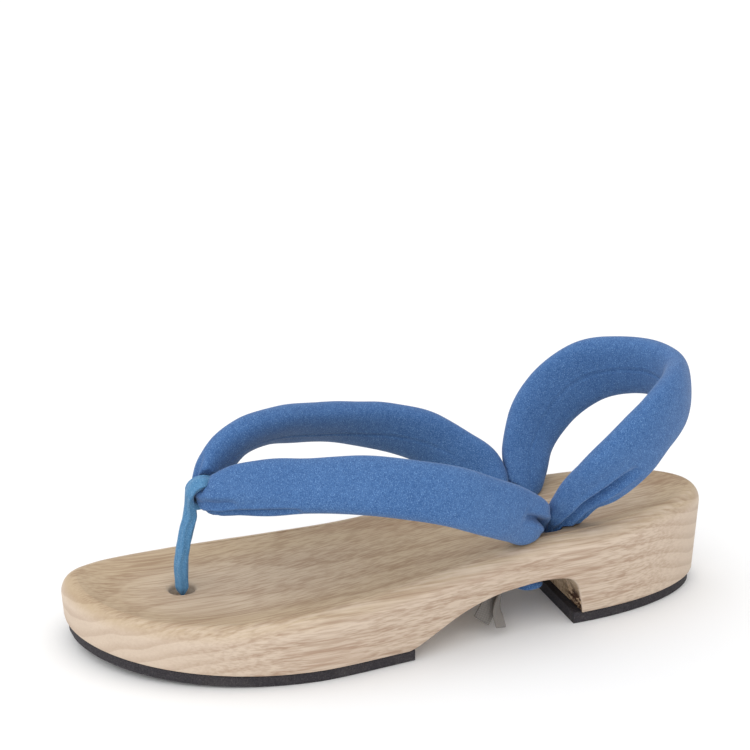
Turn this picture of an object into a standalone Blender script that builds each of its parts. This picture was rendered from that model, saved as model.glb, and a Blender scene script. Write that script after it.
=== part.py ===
"""Geta sandal for the left foot, empty, standing on its two treads.

Metres, +Z up. +Y points to the toe and +X to the inner side of the foot. The origin is on the
floor, under the middle of the sole. The sole is one carved board: a dished footbed, a heel block and
a forefoot block with an arch cut between them, and three strap holes. A rubber tread lies under each
block. The upper is made of padded cloth tubes, kept in the form that a foot gives them: an instep
strap whose two arms join over the toe gap, a loop that ties that join down to the front hole, and a
heel strap that runs round the heel, down both rear holes and across under the arch.
"""

import math

import bmesh
import bpy
import numpy as np
from mathutils import Vector

# Sole, as sawn and carved
SOLE_LENGTH = 0.252
SOLE_WIDTH = 0.087
HEEL_HEIGHT = 0.0403
BALL_HEIGHT = 0.0228
TREAD_THICKNESS = 0.0048
ARCH_HEIGHT = 0.0168
TOE_SPRING = 0.0044
RIM_RADIUS = 0.0060
DISH_DEPTH = 0.0030
WALL_DRAFT = 0.045
EDGE_BREAK = 0.0008

# Where the blocks begin and end, as shares of the sole's length from the heel
ARCH_BACK = 0.249
ARCH_FRONT = 0.538
SPRING_START = 0.690
HEEL_ROUND = 0.260
TOE_ROUND_OUTER = 0.660
TOE_ROUND_INNER = 0.820
TOE_POWER_OUTER = 2.0
TOE_POWER_INNER = 2.6
TOE_TIP_ACROSS = 0.210

# Treads
TREAD_INSET = 0.0014
TREAD_OVERHANG = 0.0028

# Strap holes
REAR_HOLE_RADIUS = 0.0060
REAR_HOLE_ALONG = 0.290
REAR_HOLE_ACROSS = 0.175
FRONT_HOLE_RADIUS = 0.0048
FRONT_HOLE_ALONG = 0.830
FRONT_HOLE_ACROSS = 0.090
HOLE_CHAMFER = 0.0020
KNOT_POCKET_RADIUS = 0.0095
KNOT_POCKET_DEPTH = 0.0060

# Straps
STRAP_WIDTH = 0.0215
STRAP_THICKNESS = 0.0115
STRAP_HEIGHT = 0.0500
NECK_WIDTH = 0.0046
NECK_THICKNESS = 0.0066
APEX_WIDTH = 0.0094
APEX_THICKNESS = 0.0074
CROSSING_WIDTH = 0.0078
CROSSING_THICKNESS = 0.0070
CROSSING_BEND = 0.0046
CROSSING_DROP = 0.0064
LOOP_WIDTH = 0.0054
LOOP_THICKNESS = 0.0034
LOOP_LEAN = 23.0
LOOP_SQUEEZE = 0.25
STEM_FORWARD = 0.0039
STEM_WIDTH = 0.0068
STEM_THICKNESS = 0.0054
TAPE_WIDTH = 0.0080
TAPE_THICKNESS = 0.0009

# Clearances
GAP = 0.0003
SEAT_GAP = 0.0006
NECK_GAP = 0.0008
LOOP_GAP = 0.0013
NECK_STEP = 0.0016
CUT_MARGIN = 0.0100

STRAP_SIDES = 16
LOOP_SIDES = 10
HOLE_SIDES = 32

# Half widths of the sole either side of its centre line, as shares of its width
SIDE_COLUMNS = ("along", "outer", "inner")
SIDES = (
    (0.00, 0.366, 0.372),
    (0.26, 0.372, 0.372),
    (0.40, 0.410, 0.356),
    (0.54, 0.462, 0.382),
    (0.68, 0.500, 0.445),
    (0.82, 0.500, 0.500),
    (1.00, 0.500, 0.500),
)

# Rim height as a share of the drop from heel to ball, and dish as a share of its depth
PROFILE_COLUMNS = ("along", "rim", "dish")
PROFILE = (
    (0.00, 1.000, 0.00),
    (0.10, 0.950, 0.90),
    (0.22, 0.857, 1.00),
    (0.31, 0.811, 0.75),
    (0.41, 0.651, 0.45),
    (0.50, 0.469, 0.40),
    (0.60, 0.290, 0.60),
    (0.72, 0.126, 0.85),
    (0.80, 0.032, 0.95),
    (0.88, 0.000, 0.85),
    (0.95, 0.025, 0.50),
    (1.00, 0.090, 0.00),
)

# The arch cut seen from the side: shares of its span from the heel block, and of its height
ARCH_COLUMNS = ("along", "height")
ARCH = (
    (0.000, 0.000),
    (0.012, 0.280),
    (0.024, 0.560),
    (0.038, 0.730),
    (0.062, 0.860),
    (0.100, 0.940),
    (0.160, 0.980),
    (0.250, 1.000),
    (0.360, 0.975),
    (0.475, 0.925),
    (0.580, 0.820),
    (0.690, 0.655),
    (0.795, 0.430),
    (0.900, 0.180),
    (0.960, 0.050),
    (1.000, 0.000),
)

# Centre lines of the straps from a rear hole, with lift as a share of STRAP_HEIGHT above the rim, width
# and thickness as shares of the strap's own, and the way the broad face looks: turn in degrees from
# straight sideways towards the toe, and tilt in degrees upwards
STRAP_COLUMNS = ("along", "across", "lift", "width", "thickness", "turn", "tilt")
OUTER_ARM = (
    (0.314, 0.216, 0.045, 0.60, 0.87, 0, 0),
    (0.329, 0.292, 0.129, 0.87, 0.97, 0, 5),
    (0.362, 0.356, 0.269, 0.96, 0.90, 5, 10),
    (0.409, 0.414, 0.435, 1.00, 0.97, 5, 18),
    (0.476, 0.437, 0.639, 1.00, 1.00, 8, 28),
    (0.534, 0.402, 0.742, 1.00, 1.00, 20, 38),
    (0.599, 0.310, 0.802, 1.00, 1.00, 28, 42),
    (0.671, 0.178, 0.786, 0.95, 0.96, 38, 38),
    (0.722, 0.075, 0.745, 0.91, 0.89, 40, 30),
    (0.755, 0.016, 0.704, 0.72, 0.78, 34, 16),
    (0.779, -0.025, 0.685, 0.44, 0.59, 56, 4),
)
INNER_ARM = (
    (0.314, 0.216, 0.045, 0.60, 0.87, 0, 0),
    (0.328, 0.287, 0.142, 0.87, 0.92, 0, 5),
    (0.361, 0.359, 0.288, 0.96, 0.90, 5, 8),
    (0.403, 0.414, 0.440, 1.00, 0.97, 5, 12),
    (0.468, 0.439, 0.609, 1.00, 1.00, 8, 22),
    (0.536, 0.425, 0.743, 1.00, 1.00, 18, 38),
    (0.603, 0.372, 0.856, 1.00, 1.00, 28, 46),
    (0.669, 0.294, 0.945, 0.93, 0.96, 34, 44),
    (0.724, 0.228, 0.946, 0.83, 0.89, 40, 30),
    (0.756, 0.191, 0.877, 0.70, 0.78, 36, 15),
    (0.780, 0.156, 0.783, 0.49, 0.64, 56, 8),
)
HEEL_STRAP = (
    (0.268, 0.198, 0.040, 0.53, 0.80, 0, 0),
    (0.260, 0.239, 0.139, 0.73, 0.83, -5, 4),
    (0.249, 0.297, 0.261, 0.93, 0.85, -8, 6),
    (0.229, 0.354, 0.406, 1.09, 0.89, -12, 8),
    (0.190, 0.391, 0.617, 1.21, 0.96, -25, 10),
    (0.142, 0.354, 0.790, 1.22, 1.00, -48, 10),
    (0.092, 0.238, 0.886, 1.12, 1.00, -65, 8),
    (0.063, 0.092, 0.920, 1.02, 0.97, -82, 5),
)
APEX_ALONG = 0.793
APEX_ACROSS = 0.092
APEX_LIFT = 0.711

# The knot at each end of the instep strap, under the arch, from its foot up to the neck. down is a
# share of KNOT_DROP, and the sizes are shares of KNOT_WIDTH
KNOT_DROP = 0.0088
KNOT_WIDTH = 0.0118
KNOT_SHIFT = 0.0036
KNOT_COLUMNS = ("down", "width", "thickness", "shift")
KNOT = (
    (1.00, 0.30, 0.30, 1.0),
    (0.92, 0.74, 0.84, 1.0),
    (0.66, 0.94, 1.10, 1.0),
    (0.42, 0.84, 0.92, 0.8),
)

# The knot under the toe loop, in its pocket. down is a share of the pocket's depth
TOE_KNOT_WIDTH = 0.0150
TOE_KNOT_COLUMNS = ("down", "width")
TOE_KNOT = (
    (0.96, 0.30),
    (0.86, 0.76),
    (0.52, 1.00),
    (0.20, 0.80),
)

# The two free ends of each tie tape, from the knot: places as shares of TAPE_REACH forward, of the
# way from the knot to the sole's edge, and of the way from the knot down to the floor. The second end
# is folded lengthwise, so it is narrower
TAPE_REACH = 0.0157
TAPE_ROOT = 0.0052
TAPE_END_WIDTHS = (1.0, 0.6)
TAPE_COLUMNS = ("forward", "outward", "down", "turn")
TAPE_ENDS = (
    ((-0.12, 0.00, 0.00, 0), (0.30, 0.25, 0.05, 20), (0.65, 0.60, 0.25, 35), (1.00, 0.90, 0.53, 35)),
    ((-0.12, 0.00, 0.00, 50), (0.10, 0.30, 0.12, 60), (0.24, 0.62, 0.42, 72), (0.38, 0.90, 0.73, 78)),
)


def column(table, columns, name):
    """One named column of a table, as an array."""
    return np.array([row[columns.index(name)] for row in table], float)


def smooth(xs, ys, x):
    """A monotone cubic curve through the points, so that it never overshoots a row."""
    xs, ys = np.asarray(xs, float), np.asarray(ys, float)
    step = np.diff(xs)
    slope = np.diff(ys) / step
    tangent = np.zeros_like(ys)
    same_way = slope[:-1] * slope[1:] > 0
    mean = 2 * slope[:-1] * slope[1:] / np.where(same_way, slope[:-1] + slope[1:], 1)
    tangent[1:-1] = np.where(same_way, mean, 0)
    tangent[0], tangent[-1] = slope[0], slope[-1]
    x = np.clip(x, xs[0], xs[-1])
    i = np.clip(np.searchsorted(xs, x, side="right") - 1, 0, len(step) - 1)
    t = (x - xs[i]) / step[i]
    return (
        ys[i] * (1 + 2 * t) * (1 - t) ** 2
        + tangent[i] * step[i] * t * (1 - t) ** 2
        + ys[i + 1] * t * t * (3 - 2 * t)
        + tangent[i + 1] * step[i] * t * t * (t - 1)
    )


def along_to_y(along):
    """A share of the sole's length from the heel, as a place along Y."""
    return (along - 0.5) * SOLE_LENGTH


def y_to_along(y):
    return y / SOLE_LENGTH + 0.5


def rounding(share, power):
    """How much of the half width is left at this share of a rounded end, from 0 at its start to 1."""
    return (1 - np.clip(share, 0, 1) ** power) ** (1 / power)


def edge_x(along, side):
    """X of the sole's edge on the "outer" or "inner" side."""
    half = smooth(column(SIDES, SIDE_COLUMNS, "along"), column(SIDES, SIDE_COLUMNS, side), along)
    sign = -1 if side == "outer" else 1
    x = sign * half * SOLE_WIDTH * rounding((HEEL_ROUND - along) / HEEL_ROUND, 2.0)
    start = TOE_ROUND_OUTER if side == "outer" else TOE_ROUND_INNER
    power = TOE_POWER_OUTER if side == "outer" else TOE_POWER_INNER
    tip = TOE_TIP_ACROSS * SOLE_WIDTH
    return np.where(along < start, x, tip + (x - tip) * rounding((along - start) / (1 - start), power))


def rim_z(along):
    """Height of the rim's crest."""
    share = smooth(column(PROFILE, PROFILE_COLUMNS, "along"), column(PROFILE, PROFILE_COLUMNS, "rim"), along)
    return BALL_HEIGHT + share * (HEEL_HEIGHT - BALL_HEIGHT)


def spring_z(along):
    """How far the underside rises off the floor towards the toe."""
    return TOE_SPRING * (np.clip((along - SPRING_START) / (1 - SPRING_START), 0, 1)) ** 2


def underside_z(along):
    """Height of the board's underside: on the treads, and over the arch."""
    arch = smooth(
        column(ARCH, ARCH_COLUMNS, "along"),
        column(ARCH, ARCH_COLUMNS, "height"),
        (along - ARCH_BACK) / (ARCH_FRONT - ARCH_BACK),
    )
    return TREAD_THICKNESS + spring_z(along) + arch * ARCH_HEIGHT


def footbed_z(x, y):
    """Height of the footbed inside the rim: dished across, most where a foot rests."""
    flat = (y + SOLE_LENGTH / 2 - RIM_RADIUS) / (SOLE_LENGTH - 2 * RIM_RADIUS)
    outer, inner = edge_x(y_to_along(y), "outer"), edge_x(y_to_along(y), "inner")
    half = max((inner - outer) / 2 - RIM_RADIUS, EDGE_BREAK)
    across = min(abs(x - (outer + inner) / 2) / half, 1)
    depth = smooth(column(PROFILE, PROFILE_COLUMNS, "along"), column(PROFILE, PROFILE_COLUMNS, "dish"), flat)
    bowl = (1 - across**2) ** 2 * (1 + 2 * across**2)
    return float(rim_z(flat) - depth * DISH_DEPTH * bowl)


def wood_top_z(x, y):
    """Height of the board's upper side with its rounded rim, or None beside the board."""
    along = y_to_along(y)
    inside = min(x - edge_x(along, "outer"), edge_x(along, "inner") - x)
    if inside <= 0:
        return None
    short = max(RIM_RADIUS - inside, 0)
    return footbed_z(x, y) - (RIM_RADIUS - math.sqrt(RIM_RADIUS**2 - short**2))


def stations():
    """Shares of the length at which the board is cut into sections, closer at its ends and in the arch."""
    quarter = np.linspace(0, math.pi / 2, 11)
    heel = HEEL_ROUND * (1 - np.cos(quarter))
    toe = 1 - (1 - TOE_ROUND_INNER) * (1 - np.cos(quarter))[::-1]
    arch = ARCH_BACK + (ARCH_FRONT - ARCH_BACK) * column(ARCH, ARCH_COLUMNS, "along")
    middle = np.linspace(ARCH_FRONT, TOE_ROUND_INNER, 10)
    return np.unique(np.round(np.concatenate([heel[heel < ARCH_BACK], arch, middle, toe]), 6))


def edges(alongs, inset):
    """The sole's outer and inner edge at these stations, moved inwards by inset at each."""
    found = []
    for side, sign in (("outer", 1), ("inner", -1)):
        points = np.stack([edge_x(alongs, side), along_to_y(alongs)], axis=1)
        run = np.gradient(points, axis=0)
        run /= np.linalg.norm(run, axis=1)[:, None]
        inward = sign * np.stack([run[:, 1], -run[:, 0]], axis=1)
        inward[alongs <= 0] = (0, 1)
        inward[alongs >= 1] = (0, -1)
        found.append(points + inward * np.broadcast_to(inset, len(alongs))[:, None])
    return found


class Ring:
    """A level ring of vertices round the sole, with one vertex of its own at each rounded tip."""

    def __init__(self, bm, alongs, inset, z, shift_y=0.0):
        sides = edges(alongs, inset)
        shift_y = np.broadcast_to(shift_y, len(alongs))
        self.outer, self.inner = [
            [bm.verts.new((p[0], p[1] + dy, h)) for p, dy, h in zip(side, shift_y, z)] for side in sides
        ]
        for end, at in ((0, alongs[0] <= 0), (-1, alongs[-1] >= 1)):
            if at:
                bm.verts.remove(self.inner[end])
                self.inner[end] = self.outer[end]
        self.round = list(dict.fromkeys(self.outer + self.inner[::-1]))

    def fill(self, bm, places=(), height=None):
        """Closes the ring with strips from side to side, with vertices between at these shares."""
        rows = []
        for left, right in zip(self.outer, self.inner):
            between = []
            for share in places if left is not right else ():
                p = left.co.lerp(right.co, share)
                between.append(bm.verts.new((p.x, p.y, height(p.x, p.y))))
            rows.append([left, *between, right] if left is not right else [left] * (len(places) + 2))
        for a, b in zip(rows, rows[1:]):
            for k in range(len(a) - 1):
                bm.faces.new(tuple(dict.fromkeys((a[k], a[k + 1], b[k + 1], b[k]))))


def new_object(name, bm, material):
    """Makes a named object of this mesh, smooth but for its sharp edges."""
    bmesh.ops.remove_doubles(bm, verts=bm.verts, dist=1e-6)
    bm.normal_update()
    bmesh.ops.recalc_face_normals(bm, faces=bm.faces)
    mesh = bpy.data.meshes.new(name)
    bm.to_mesh(mesh)
    bm.free()
    mesh.shade_smooth()
    mesh.set_sharp_from_angle(angle=math.radians(40))
    mesh.materials.append(material)
    obj = bpy.data.objects.new(name, mesh)
    bpy.context.scene.collection.objects.link(obj)
    return obj


def material(name, colour, roughness):
    made = bpy.data.materials.new(name)
    made.use_nodes = True
    shader = made.node_tree.nodes["Principled BSDF"]
    shader.inputs["Base Color"].default_value = (*colour, 1)
    shader.inputs["Roughness"].default_value = roughness
    shader.inputs["Metallic"].default_value = 0
    return made


def helper(obj):
    """Keeps a cutter or a joined piece out of the finished part."""
    obj.hide_render = True
    obj.display_type = "WIRE"
    return obj


def boolean(obj, other, operation):
    modifier = obj.modifiers.new(f"{operation.lower()}_{other.name}", "BOOLEAN")
    modifier.operation = operation
    modifier.object = helper(other)


def bridge(bm, lower, upper):
    """Faces between two closed rings of the same number of vertices."""
    for i in range(len(lower)):
        j = (i + 1) % len(lower)
        bm.faces.new((lower[i], lower[j], upper[j], upper[i]))


def board_mesh():
    """The carved board, as rings that climb its wall and rim, closed by strips above and below."""
    bm = bmesh.new()
    alongs = stations()
    under = underside_z(alongs)
    shoulder = rim_z(alongs) - RIM_RADIUS
    draft = WALL_DRAFT * (shoulder - under)
    run = np.gradient(np.stack([along_to_y(alongs), under], axis=1), axis=0)
    run /= np.linalg.norm(run, axis=1)[:, None]
    rings = [
        Ring(bm, alongs, draft + EDGE_BREAK, under),
        Ring(bm, alongs, draft, under + EDGE_BREAK * run[:, 0], -EDGE_BREAK * run[:, 1]),
        Ring(bm, alongs, 0.0, shoulder),
    ]
    for angle in np.radians((22.5, 45, 67.5, 90)):
        inset = RIM_RADIUS * (1 - math.cos(angle))
        rings.append(Ring(bm, alongs, inset, shoulder + RIM_RADIUS * math.sin(angle)))
    for lower, upper in zip(rings, rings[1:]):
        bridge(bm, lower.round, upper.round)
    rings[0].fill(bm)
    rings[-1].fill(bm, (0.08, 0.2, 0.35, 0.5, 0.65, 0.8, 0.92), footbed_z)
    return bm


def tread_mesh(start, end):
    """A rubber sheet under the board between two shares of the length, following the toe spring."""
    bm = bmesh.new()
    alongs = stations()
    alongs = np.concatenate([[start], alongs[(alongs > start + 0.004) & (alongs < end - 0.004)], [end]])
    lowest = spring_z(alongs)
    inset = TREAD_INSET + WALL_DRAFT * (rim_z(alongs) - RIM_RADIUS - TREAD_THICKNESS - lowest)
    lower = Ring(bm, alongs, inset, lowest)
    upper = Ring(bm, alongs, inset, lowest + TREAD_THICKNESS - GAP)
    for ring in (lower, upper):
        for side in (ring.outer, ring.inner):
            for end_of_side, along in ((0, start), (-1, end)):
                if 0 < along < 1:
                    side[end_of_side].co.y = along_to_y(along)
    bridge(bm, lower.round, upper.round)
    lower.fill(bm)
    upper.fill(bm)
    return bm


def turned_cutter(name, x, y, profile):
    """A round cutter on a vertical axis, from (radius, height) pairs listed upwards."""
    bm = bmesh.new()
    angles = np.linspace(0, 2 * math.pi, HOLE_SIDES, endpoint=False)
    rings = [
        [bm.verts.new((x + r * math.cos(a), y + r * math.sin(a), z)) for a in angles] for r, z in profile
    ]
    for lower, upper in zip(rings, rings[1:]):
        bridge(bm, lower, upper)
    bm.faces.new(rings[0])
    bm.faces.new(rings[-1])
    return helper(new_object(name, bm, bpy.data.materials["wood"]))


def spline(points, count, closed=False):
    """Even samples along a smooth curve through rows of numbers, whose first three are a place."""
    points = np.asarray(points, float)
    if closed:
        points = np.concatenate([points[-2:], points, points[:3]])
    places = np.concatenate([[0], np.cumsum(np.linalg.norm(np.diff(points[:, :3], axis=0), axis=1))])
    tangents = np.gradient(points, places, axis=0)
    first, last = (places[2], places[-3]) if closed else (places[0], places[-1])
    at = np.linspace(first, last, count + 1 if closed else count)
    at = at[:-1] if closed else at
    i = np.clip(np.searchsorted(places, at, side="right") - 1, 0, len(places) - 2)
    step = (places[i + 1] - places[i])[:, None]
    t = ((at - places[i]) / step[:, 0])[:, None]
    return (
        points[i] * (1 + 2 * t) * (1 - t) ** 2
        + tangents[i] * step * t * (1 - t) ** 2
        + points[i + 1] * t * t * (3 - 2 * t)
        + tangents[i + 1] * step * t * t * (t - 1)
    )


def sweep(rows, count, sides, power=2.4, closed=False, shape=None):
    """A padded tube along rows of (x, y, z, width, thickness, outward x, y, z), with capped ends.

    Its section is a rounded flat oval, width across and thickness along the outward direction. shape
    may move each vertex, as where the tube lies on the wood.
    """
    samples = spline(rows, count, closed)
    centres = samples[:, :3]
    if closed:
        tangents = np.roll(centres, -1, axis=0) - np.roll(centres, 1, axis=0)
    else:
        tangents = np.gradient(centres, axis=0)
    bm = bmesh.new()
    rings = []
    for centre, tangent, sample in zip(centres, tangents, samples):
        tangent = Vector(tangent).normalized()
        outward = Vector(sample[5:8])
        outward = (outward - outward.dot(tangent) * tangent).normalized()
        across = tangent.cross(outward)
        ring = []
        for angle in np.linspace(0, 2 * math.pi, sides, endpoint=False):
            c, s = math.cos(angle), math.sin(angle)
            u = math.copysign(abs(c) ** (2 / power), c) * sample[3] / 2
            v = math.copysign(abs(s) ** (2 / power), s) * sample[4] / 2
            place = Vector(centre) + across * u + outward * v
            ring.append(bm.verts.new(shape(place) if shape else place))
        rings.append(ring)
    for lower, upper in zip(rings, rings[1:]):
        bridge(bm, lower, upper)
    if closed:
        bridge(bm, rings[-1], rings[0])
    else:
        bm.faces.new(rings[0])
        bm.faces.new(rings[-1])
    return bm


def rear_hole(sign):
    """Centre of a rear strap hole: sign is -1 on the outer side and 1 on the inner one."""
    return sign * REAR_HOLE_ACROSS * SOLE_WIDTH, along_to_y(REAR_HOLE_ALONG)


def neck_y(ahead):
    """Y of a neck in a rear hole: ahead is 1 for the instep strap and -1 for the heel strap."""
    return rear_hole(1)[1] + ahead * (NECK_WIDTH + NECK_GAP) / 2


def facing(sign, turn, tilt):
    """The way a strap's broad face looks, from degrees towards the toe and upwards."""
    turn, tilt = math.radians(turn), math.radians(tilt)
    return sign * math.cos(turn) * math.cos(tilt), math.sin(turn) * math.cos(tilt), math.sin(tilt)


def strap_rows(table, sign):
    """A strap table as rows for sweep(), on the side of the foot given by sign."""
    return [
        (
            sign * across * SOLE_WIDTH,
            along_to_y(along),
            float(rim_z(along)) + lift * STRAP_HEIGHT,
            width * STRAP_WIDTH,
            thickness * STRAP_THICKNESS,
            *facing(sign, turn, tilt),
        )
        for along, across, lift, width, thickness, turn, tilt in table
    ]


def neck_rows(sign, ahead, lowest):
    """The straight neck of a strap in a rear hole, from a height up to the footbed."""
    x, hole_y = rear_hole(sign)
    highest = footbed_z(x, hole_y) - HOLE_CHAMFER
    return [
        (x, neck_y(ahead), lowest + share * (highest - lowest), NECK_WIDTH, NECK_THICKNESS, sign, 0, 0)
        for share in (0.0, 0.5, 1.0)
    ]


def on_wood(place):
    """Keeps a point of a strap just above the board, or just under its arch, outside the rear holes."""
    hole = min(math.dist(place[:2], rear_hole(sign)) for sign in (-1, 1))
    top = wood_top_z(place.x, place.y)
    if hole < REAR_HOLE_RADIUS or top is None:
        return place
    ceiling = float(underside_z(y_to_along(place.y)))
    if place.z > (top + ceiling) / 2:
        place.z = max(place.z, top + SEAT_GAP)
    else:
        place.z = min(place.z, ceiling - SEAT_GAP)
    return place


def arm_rows(table, sign):
    """One arm of the instep strap: its knot, its neck in the hole, and its way to the apex."""
    x = rear_hole(sign)[0]
    ceiling = float(underside_z(REAR_HOLE_ALONG))
    knot = [
        (
            x,
            neck_y(1) + KNOT_SHIFT * shift,
            ceiling - SEAT_GAP - down * KNOT_DROP,
            KNOT_WIDTH * width,
            KNOT_WIDTH * thickness,
            sign, 0, 0,
        )
        for down, width, thickness, shift in KNOT
    ]
    return knot + neck_rows(sign, 1, ceiling - NECK_STEP) + strap_rows(table, sign)


def apex():
    """Where the two arms join, over the gap between the first two toes."""
    height = float(rim_z(APEX_ALONG)) + APEX_LIFT * STRAP_HEIGHT
    return Vector((APEX_ACROSS * SOLE_WIDTH, along_to_y(APEX_ALONG), height))


def instep_strap(cloth):
    """The padded strap over the foot: two arms in one piece, from knot to knot through the apex."""
    middle = (*apex(), APEX_WIDTH, APEX_THICKNESS, 0, 1, 0)
    rows = arm_rows(OUTER_ARM, -1) + [middle] + arm_rows(INNER_ARM, 1)[::-1]
    return new_object("instep_strap", sweep(rows, 108, STRAP_SIDES, shape=on_wood), cloth)


def heel_strap(cloth):
    """The padded strap round the heel, a closed loop through both rear holes and under the arch."""
    x, y = rear_hole(-1)[0], neck_y(-1)
    ceiling = float(underside_z(REAR_HOLE_ALONG))
    crossing_z = ceiling - CROSSING_DROP
    neck = (NECK_WIDTH, NECK_THICKNESS)
    slope = CROSSING_BEND * (1 - math.sqrt(0.5))
    rows = [
        (x + 2.2 * CROSSING_BEND, y, crossing_z, CROSSING_WIDTH, CROSSING_THICKNESS, 0, 0, -1),
        (x + CROSSING_BEND, y, crossing_z, 0.9 * CROSSING_WIDTH, CROSSING_THICKNESS, 0, 0, -1),
        (x + slope, y, crossing_z + slope, *neck, -1, 0, -1),
        *neck_rows(-1, -1, crossing_z + CROSSING_BEND),
        *strap_rows(HEEL_STRAP, -1),
    ]
    mirrored = [(-row[0], *row[1:5], -row[5], *row[6:]) for row in rows[::-1]]
    return new_object("heel_strap", sweep(rows + mirrored, 92, STRAP_SIDES, closed=True, shape=on_wood), cloth)


def toe_loop(cloth):
    """The loop over the apex, its stem between the toes, and its knot in the pocket."""
    point = apex()
    reach_y = APEX_THICKNESS / 2 + LOOP_THICKNESS / 2 + LOOP_GAP
    reach_z = APEX_WIDTH / 2 + LOOP_THICKNESS / 2 + LOOP_GAP
    lean = math.radians(LOOP_LEAN)
    up = Vector((-math.sin(lean), 0, math.cos(lean)))
    ahead = Vector((0, 1, 0))
    ring = []
    for angle in np.linspace(0, 2 * math.pi, 12, endpoint=False):
        out = math.cos(angle) * ahead + math.sin(angle) * up
        place = point + reach_y * math.cos(angle) * ahead + reach_z * math.sin(angle) * up
        squeeze = 1 - LOOP_SQUEEZE * (1 - math.cos(angle)) / 2
        ring.append((*place, LOOP_WIDTH * squeeze, LOOP_THICKNESS, *out))
    loop = new_object("toe_loop", sweep(ring, 26, LOOP_SIDES, closed=True), cloth)

    hole_x, hole_y = front_hole()
    pocket_top = float(underside_z(FRONT_HOLE_ALONG)) + KNOT_POCKET_DEPTH
    rows = [
        (
            hole_x, hole_y, pocket_top - GAP - down * (KNOT_POCKET_DEPTH - GAP),
            width * TOE_KNOT_WIDTH, width * TOE_KNOT_WIDTH, 0, 1, 0,
        )
        for down, width in TOE_KNOT
    ]
    foot = point - (reach_z - 0.2 * LOOP_THICKNESS) * up
    for share in (0.0, 0.25, 0.5, 0.75, 1.0):
        bend = smooth((0, 0.4, 1), (0, 0, 1), share)
        x = hole_x + bend * (foot.x - hole_x)
        y = hole_y + bend * (foot.y + STEM_FORWARD - hole_y)
        z = pocket_top + share * (foot.z - pocket_top)
        rows.append((x, y, z, STEM_WIDTH, STEM_THICKNESS, 0, 1, 0))
    stem = new_object("toe_stem", sweep(rows, 22, LOOP_SIDES), cloth)
    boolean(loop, stem, "UNION")
    return loop


def front_hole():
    """Centre of the front strap hole, between the first two toes."""
    return FRONT_HOLE_ACROSS * SOLE_WIDTH, along_to_y(FRONT_HOLE_ALONG)


def tie_tape(name, sign, cloth):
    """The tape that ties a knot under the arch: a small turn at the knot and two flat ends."""
    x = rear_hole(sign)[0]
    y = neck_y(1) + KNOT_SHIFT + KNOT_WIDTH / 2 + GAP + TAPE_ROOT / 2
    z = float(underside_z(REAR_HOLE_ALONG)) - SEAT_GAP - 0.55 * KNOT_DROP
    edge = edge_x(REAR_HOLE_ALONG, "outer" if sign < 0 else "inner")
    pieces = []
    for number, (table, width) in enumerate(zip(TAPE_ENDS, TAPE_END_WIDTHS)):
        rows = []
        for forward, outward, down, turn in table:
            angle = math.radians(turn)
            rows.append(
                (
                    x + outward * (edge - x),
                    y + forward * TAPE_REACH,
                    z - down * z,
                    width * TAPE_WIDTH,
                    TAPE_THICKNESS,
                    sign * math.sin(angle), 0, -math.cos(angle),
                )
            )
        pieces.append(new_object(f"{name}_end_{number}", sweep(rows, 12, 8, power=5.0), cloth))
    turn_rows = [
        (x - sign * TAPE_WIDTH * share, y, z, TAPE_ROOT * size, TAPE_ROOT * size, 0, 0, 1)
        for share, size in ((-0.62, 0.6), (-0.5, 0.92), (0.0, 1.0), (0.5, 0.92), (0.62, 0.6))
    ]
    root = new_object(name, sweep(turn_rows, 9, 10), cloth)
    for piece in pieces:
        boolean(root, piece, "UNION")
    return root


def build():
    for obj in list(bpy.data.objects):
        bpy.data.objects.remove(obj)

    wood = material("wood", (0.61, 0.47, 0.31), 0.55)
    rubber = material("rubber", (0.030, 0.028, 0.031), 0.75)
    strap_cloth = material("strap_cloth", (0.090, 0.235, 0.500), 0.80)
    loop_cloth = material("loop_cloth", (0.120, 0.350, 0.500), 0.80)
    tape_cloth = material("tape_cloth", (0.190, 0.185, 0.175), 0.85)

    sole = new_object("sole", board_mesh(), wood)
    top = HEEL_HEIGHT + CUT_MARGIN
    for name, sign in (("outer_hole_cut", -1), ("inner_hole_cut", 1)):
        x, y = rear_hole(sign)
        surface = footbed_z(x, y)
        flare = top - surface + HOLE_CHAMFER
        profile = (
            (REAR_HOLE_RADIUS, TREAD_THICKNESS),
            (REAR_HOLE_RADIUS, surface - HOLE_CHAMFER),
            (REAR_HOLE_RADIUS + flare, top),
        )
        boolean(sole, turned_cutter(name, x, y, profile), "DIFFERENCE")

    x, y = front_hole()
    surface = footbed_z(x, y)
    pocket_top = float(underside_z(FRONT_HOLE_ALONG)) + KNOT_POCKET_DEPTH
    profile = (
        (KNOT_POCKET_RADIUS, -CUT_MARGIN),
        (KNOT_POCKET_RADIUS, pocket_top),
        (FRONT_HOLE_RADIUS, pocket_top + EDGE_BREAK),
        (FRONT_HOLE_RADIUS, surface - HOLE_CHAMFER),
        (FRONT_HOLE_RADIUS + top - surface + HOLE_CHAMFER, top),
    )
    boolean(sole, turned_cutter("front_hole_cut", x, y, profile), "DIFFERENCE")

    overhang = TREAD_OVERHANG / SOLE_LENGTH
    forefoot = new_object("forefoot_tread", tread_mesh(ARCH_FRONT - overhang, 1.0), rubber)
    window = ((KNOT_POCKET_RADIUS, -CUT_MARGIN), (KNOT_POCKET_RADIUS, top))
    boolean(forefoot, turned_cutter("tread_window_cut", x, y, window), "DIFFERENCE")
    new_object("heel_tread", tread_mesh(0.0, ARCH_BACK + overhang), rubber)

    instep_strap(strap_cloth)
    heel_strap(strap_cloth)
    toe_loop(loop_cloth)
    tie_tape("tie_tape_outer", -1, tape_cloth)
    tie_tape("tie_tape_inner", 1, tape_cloth)


build()
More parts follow.
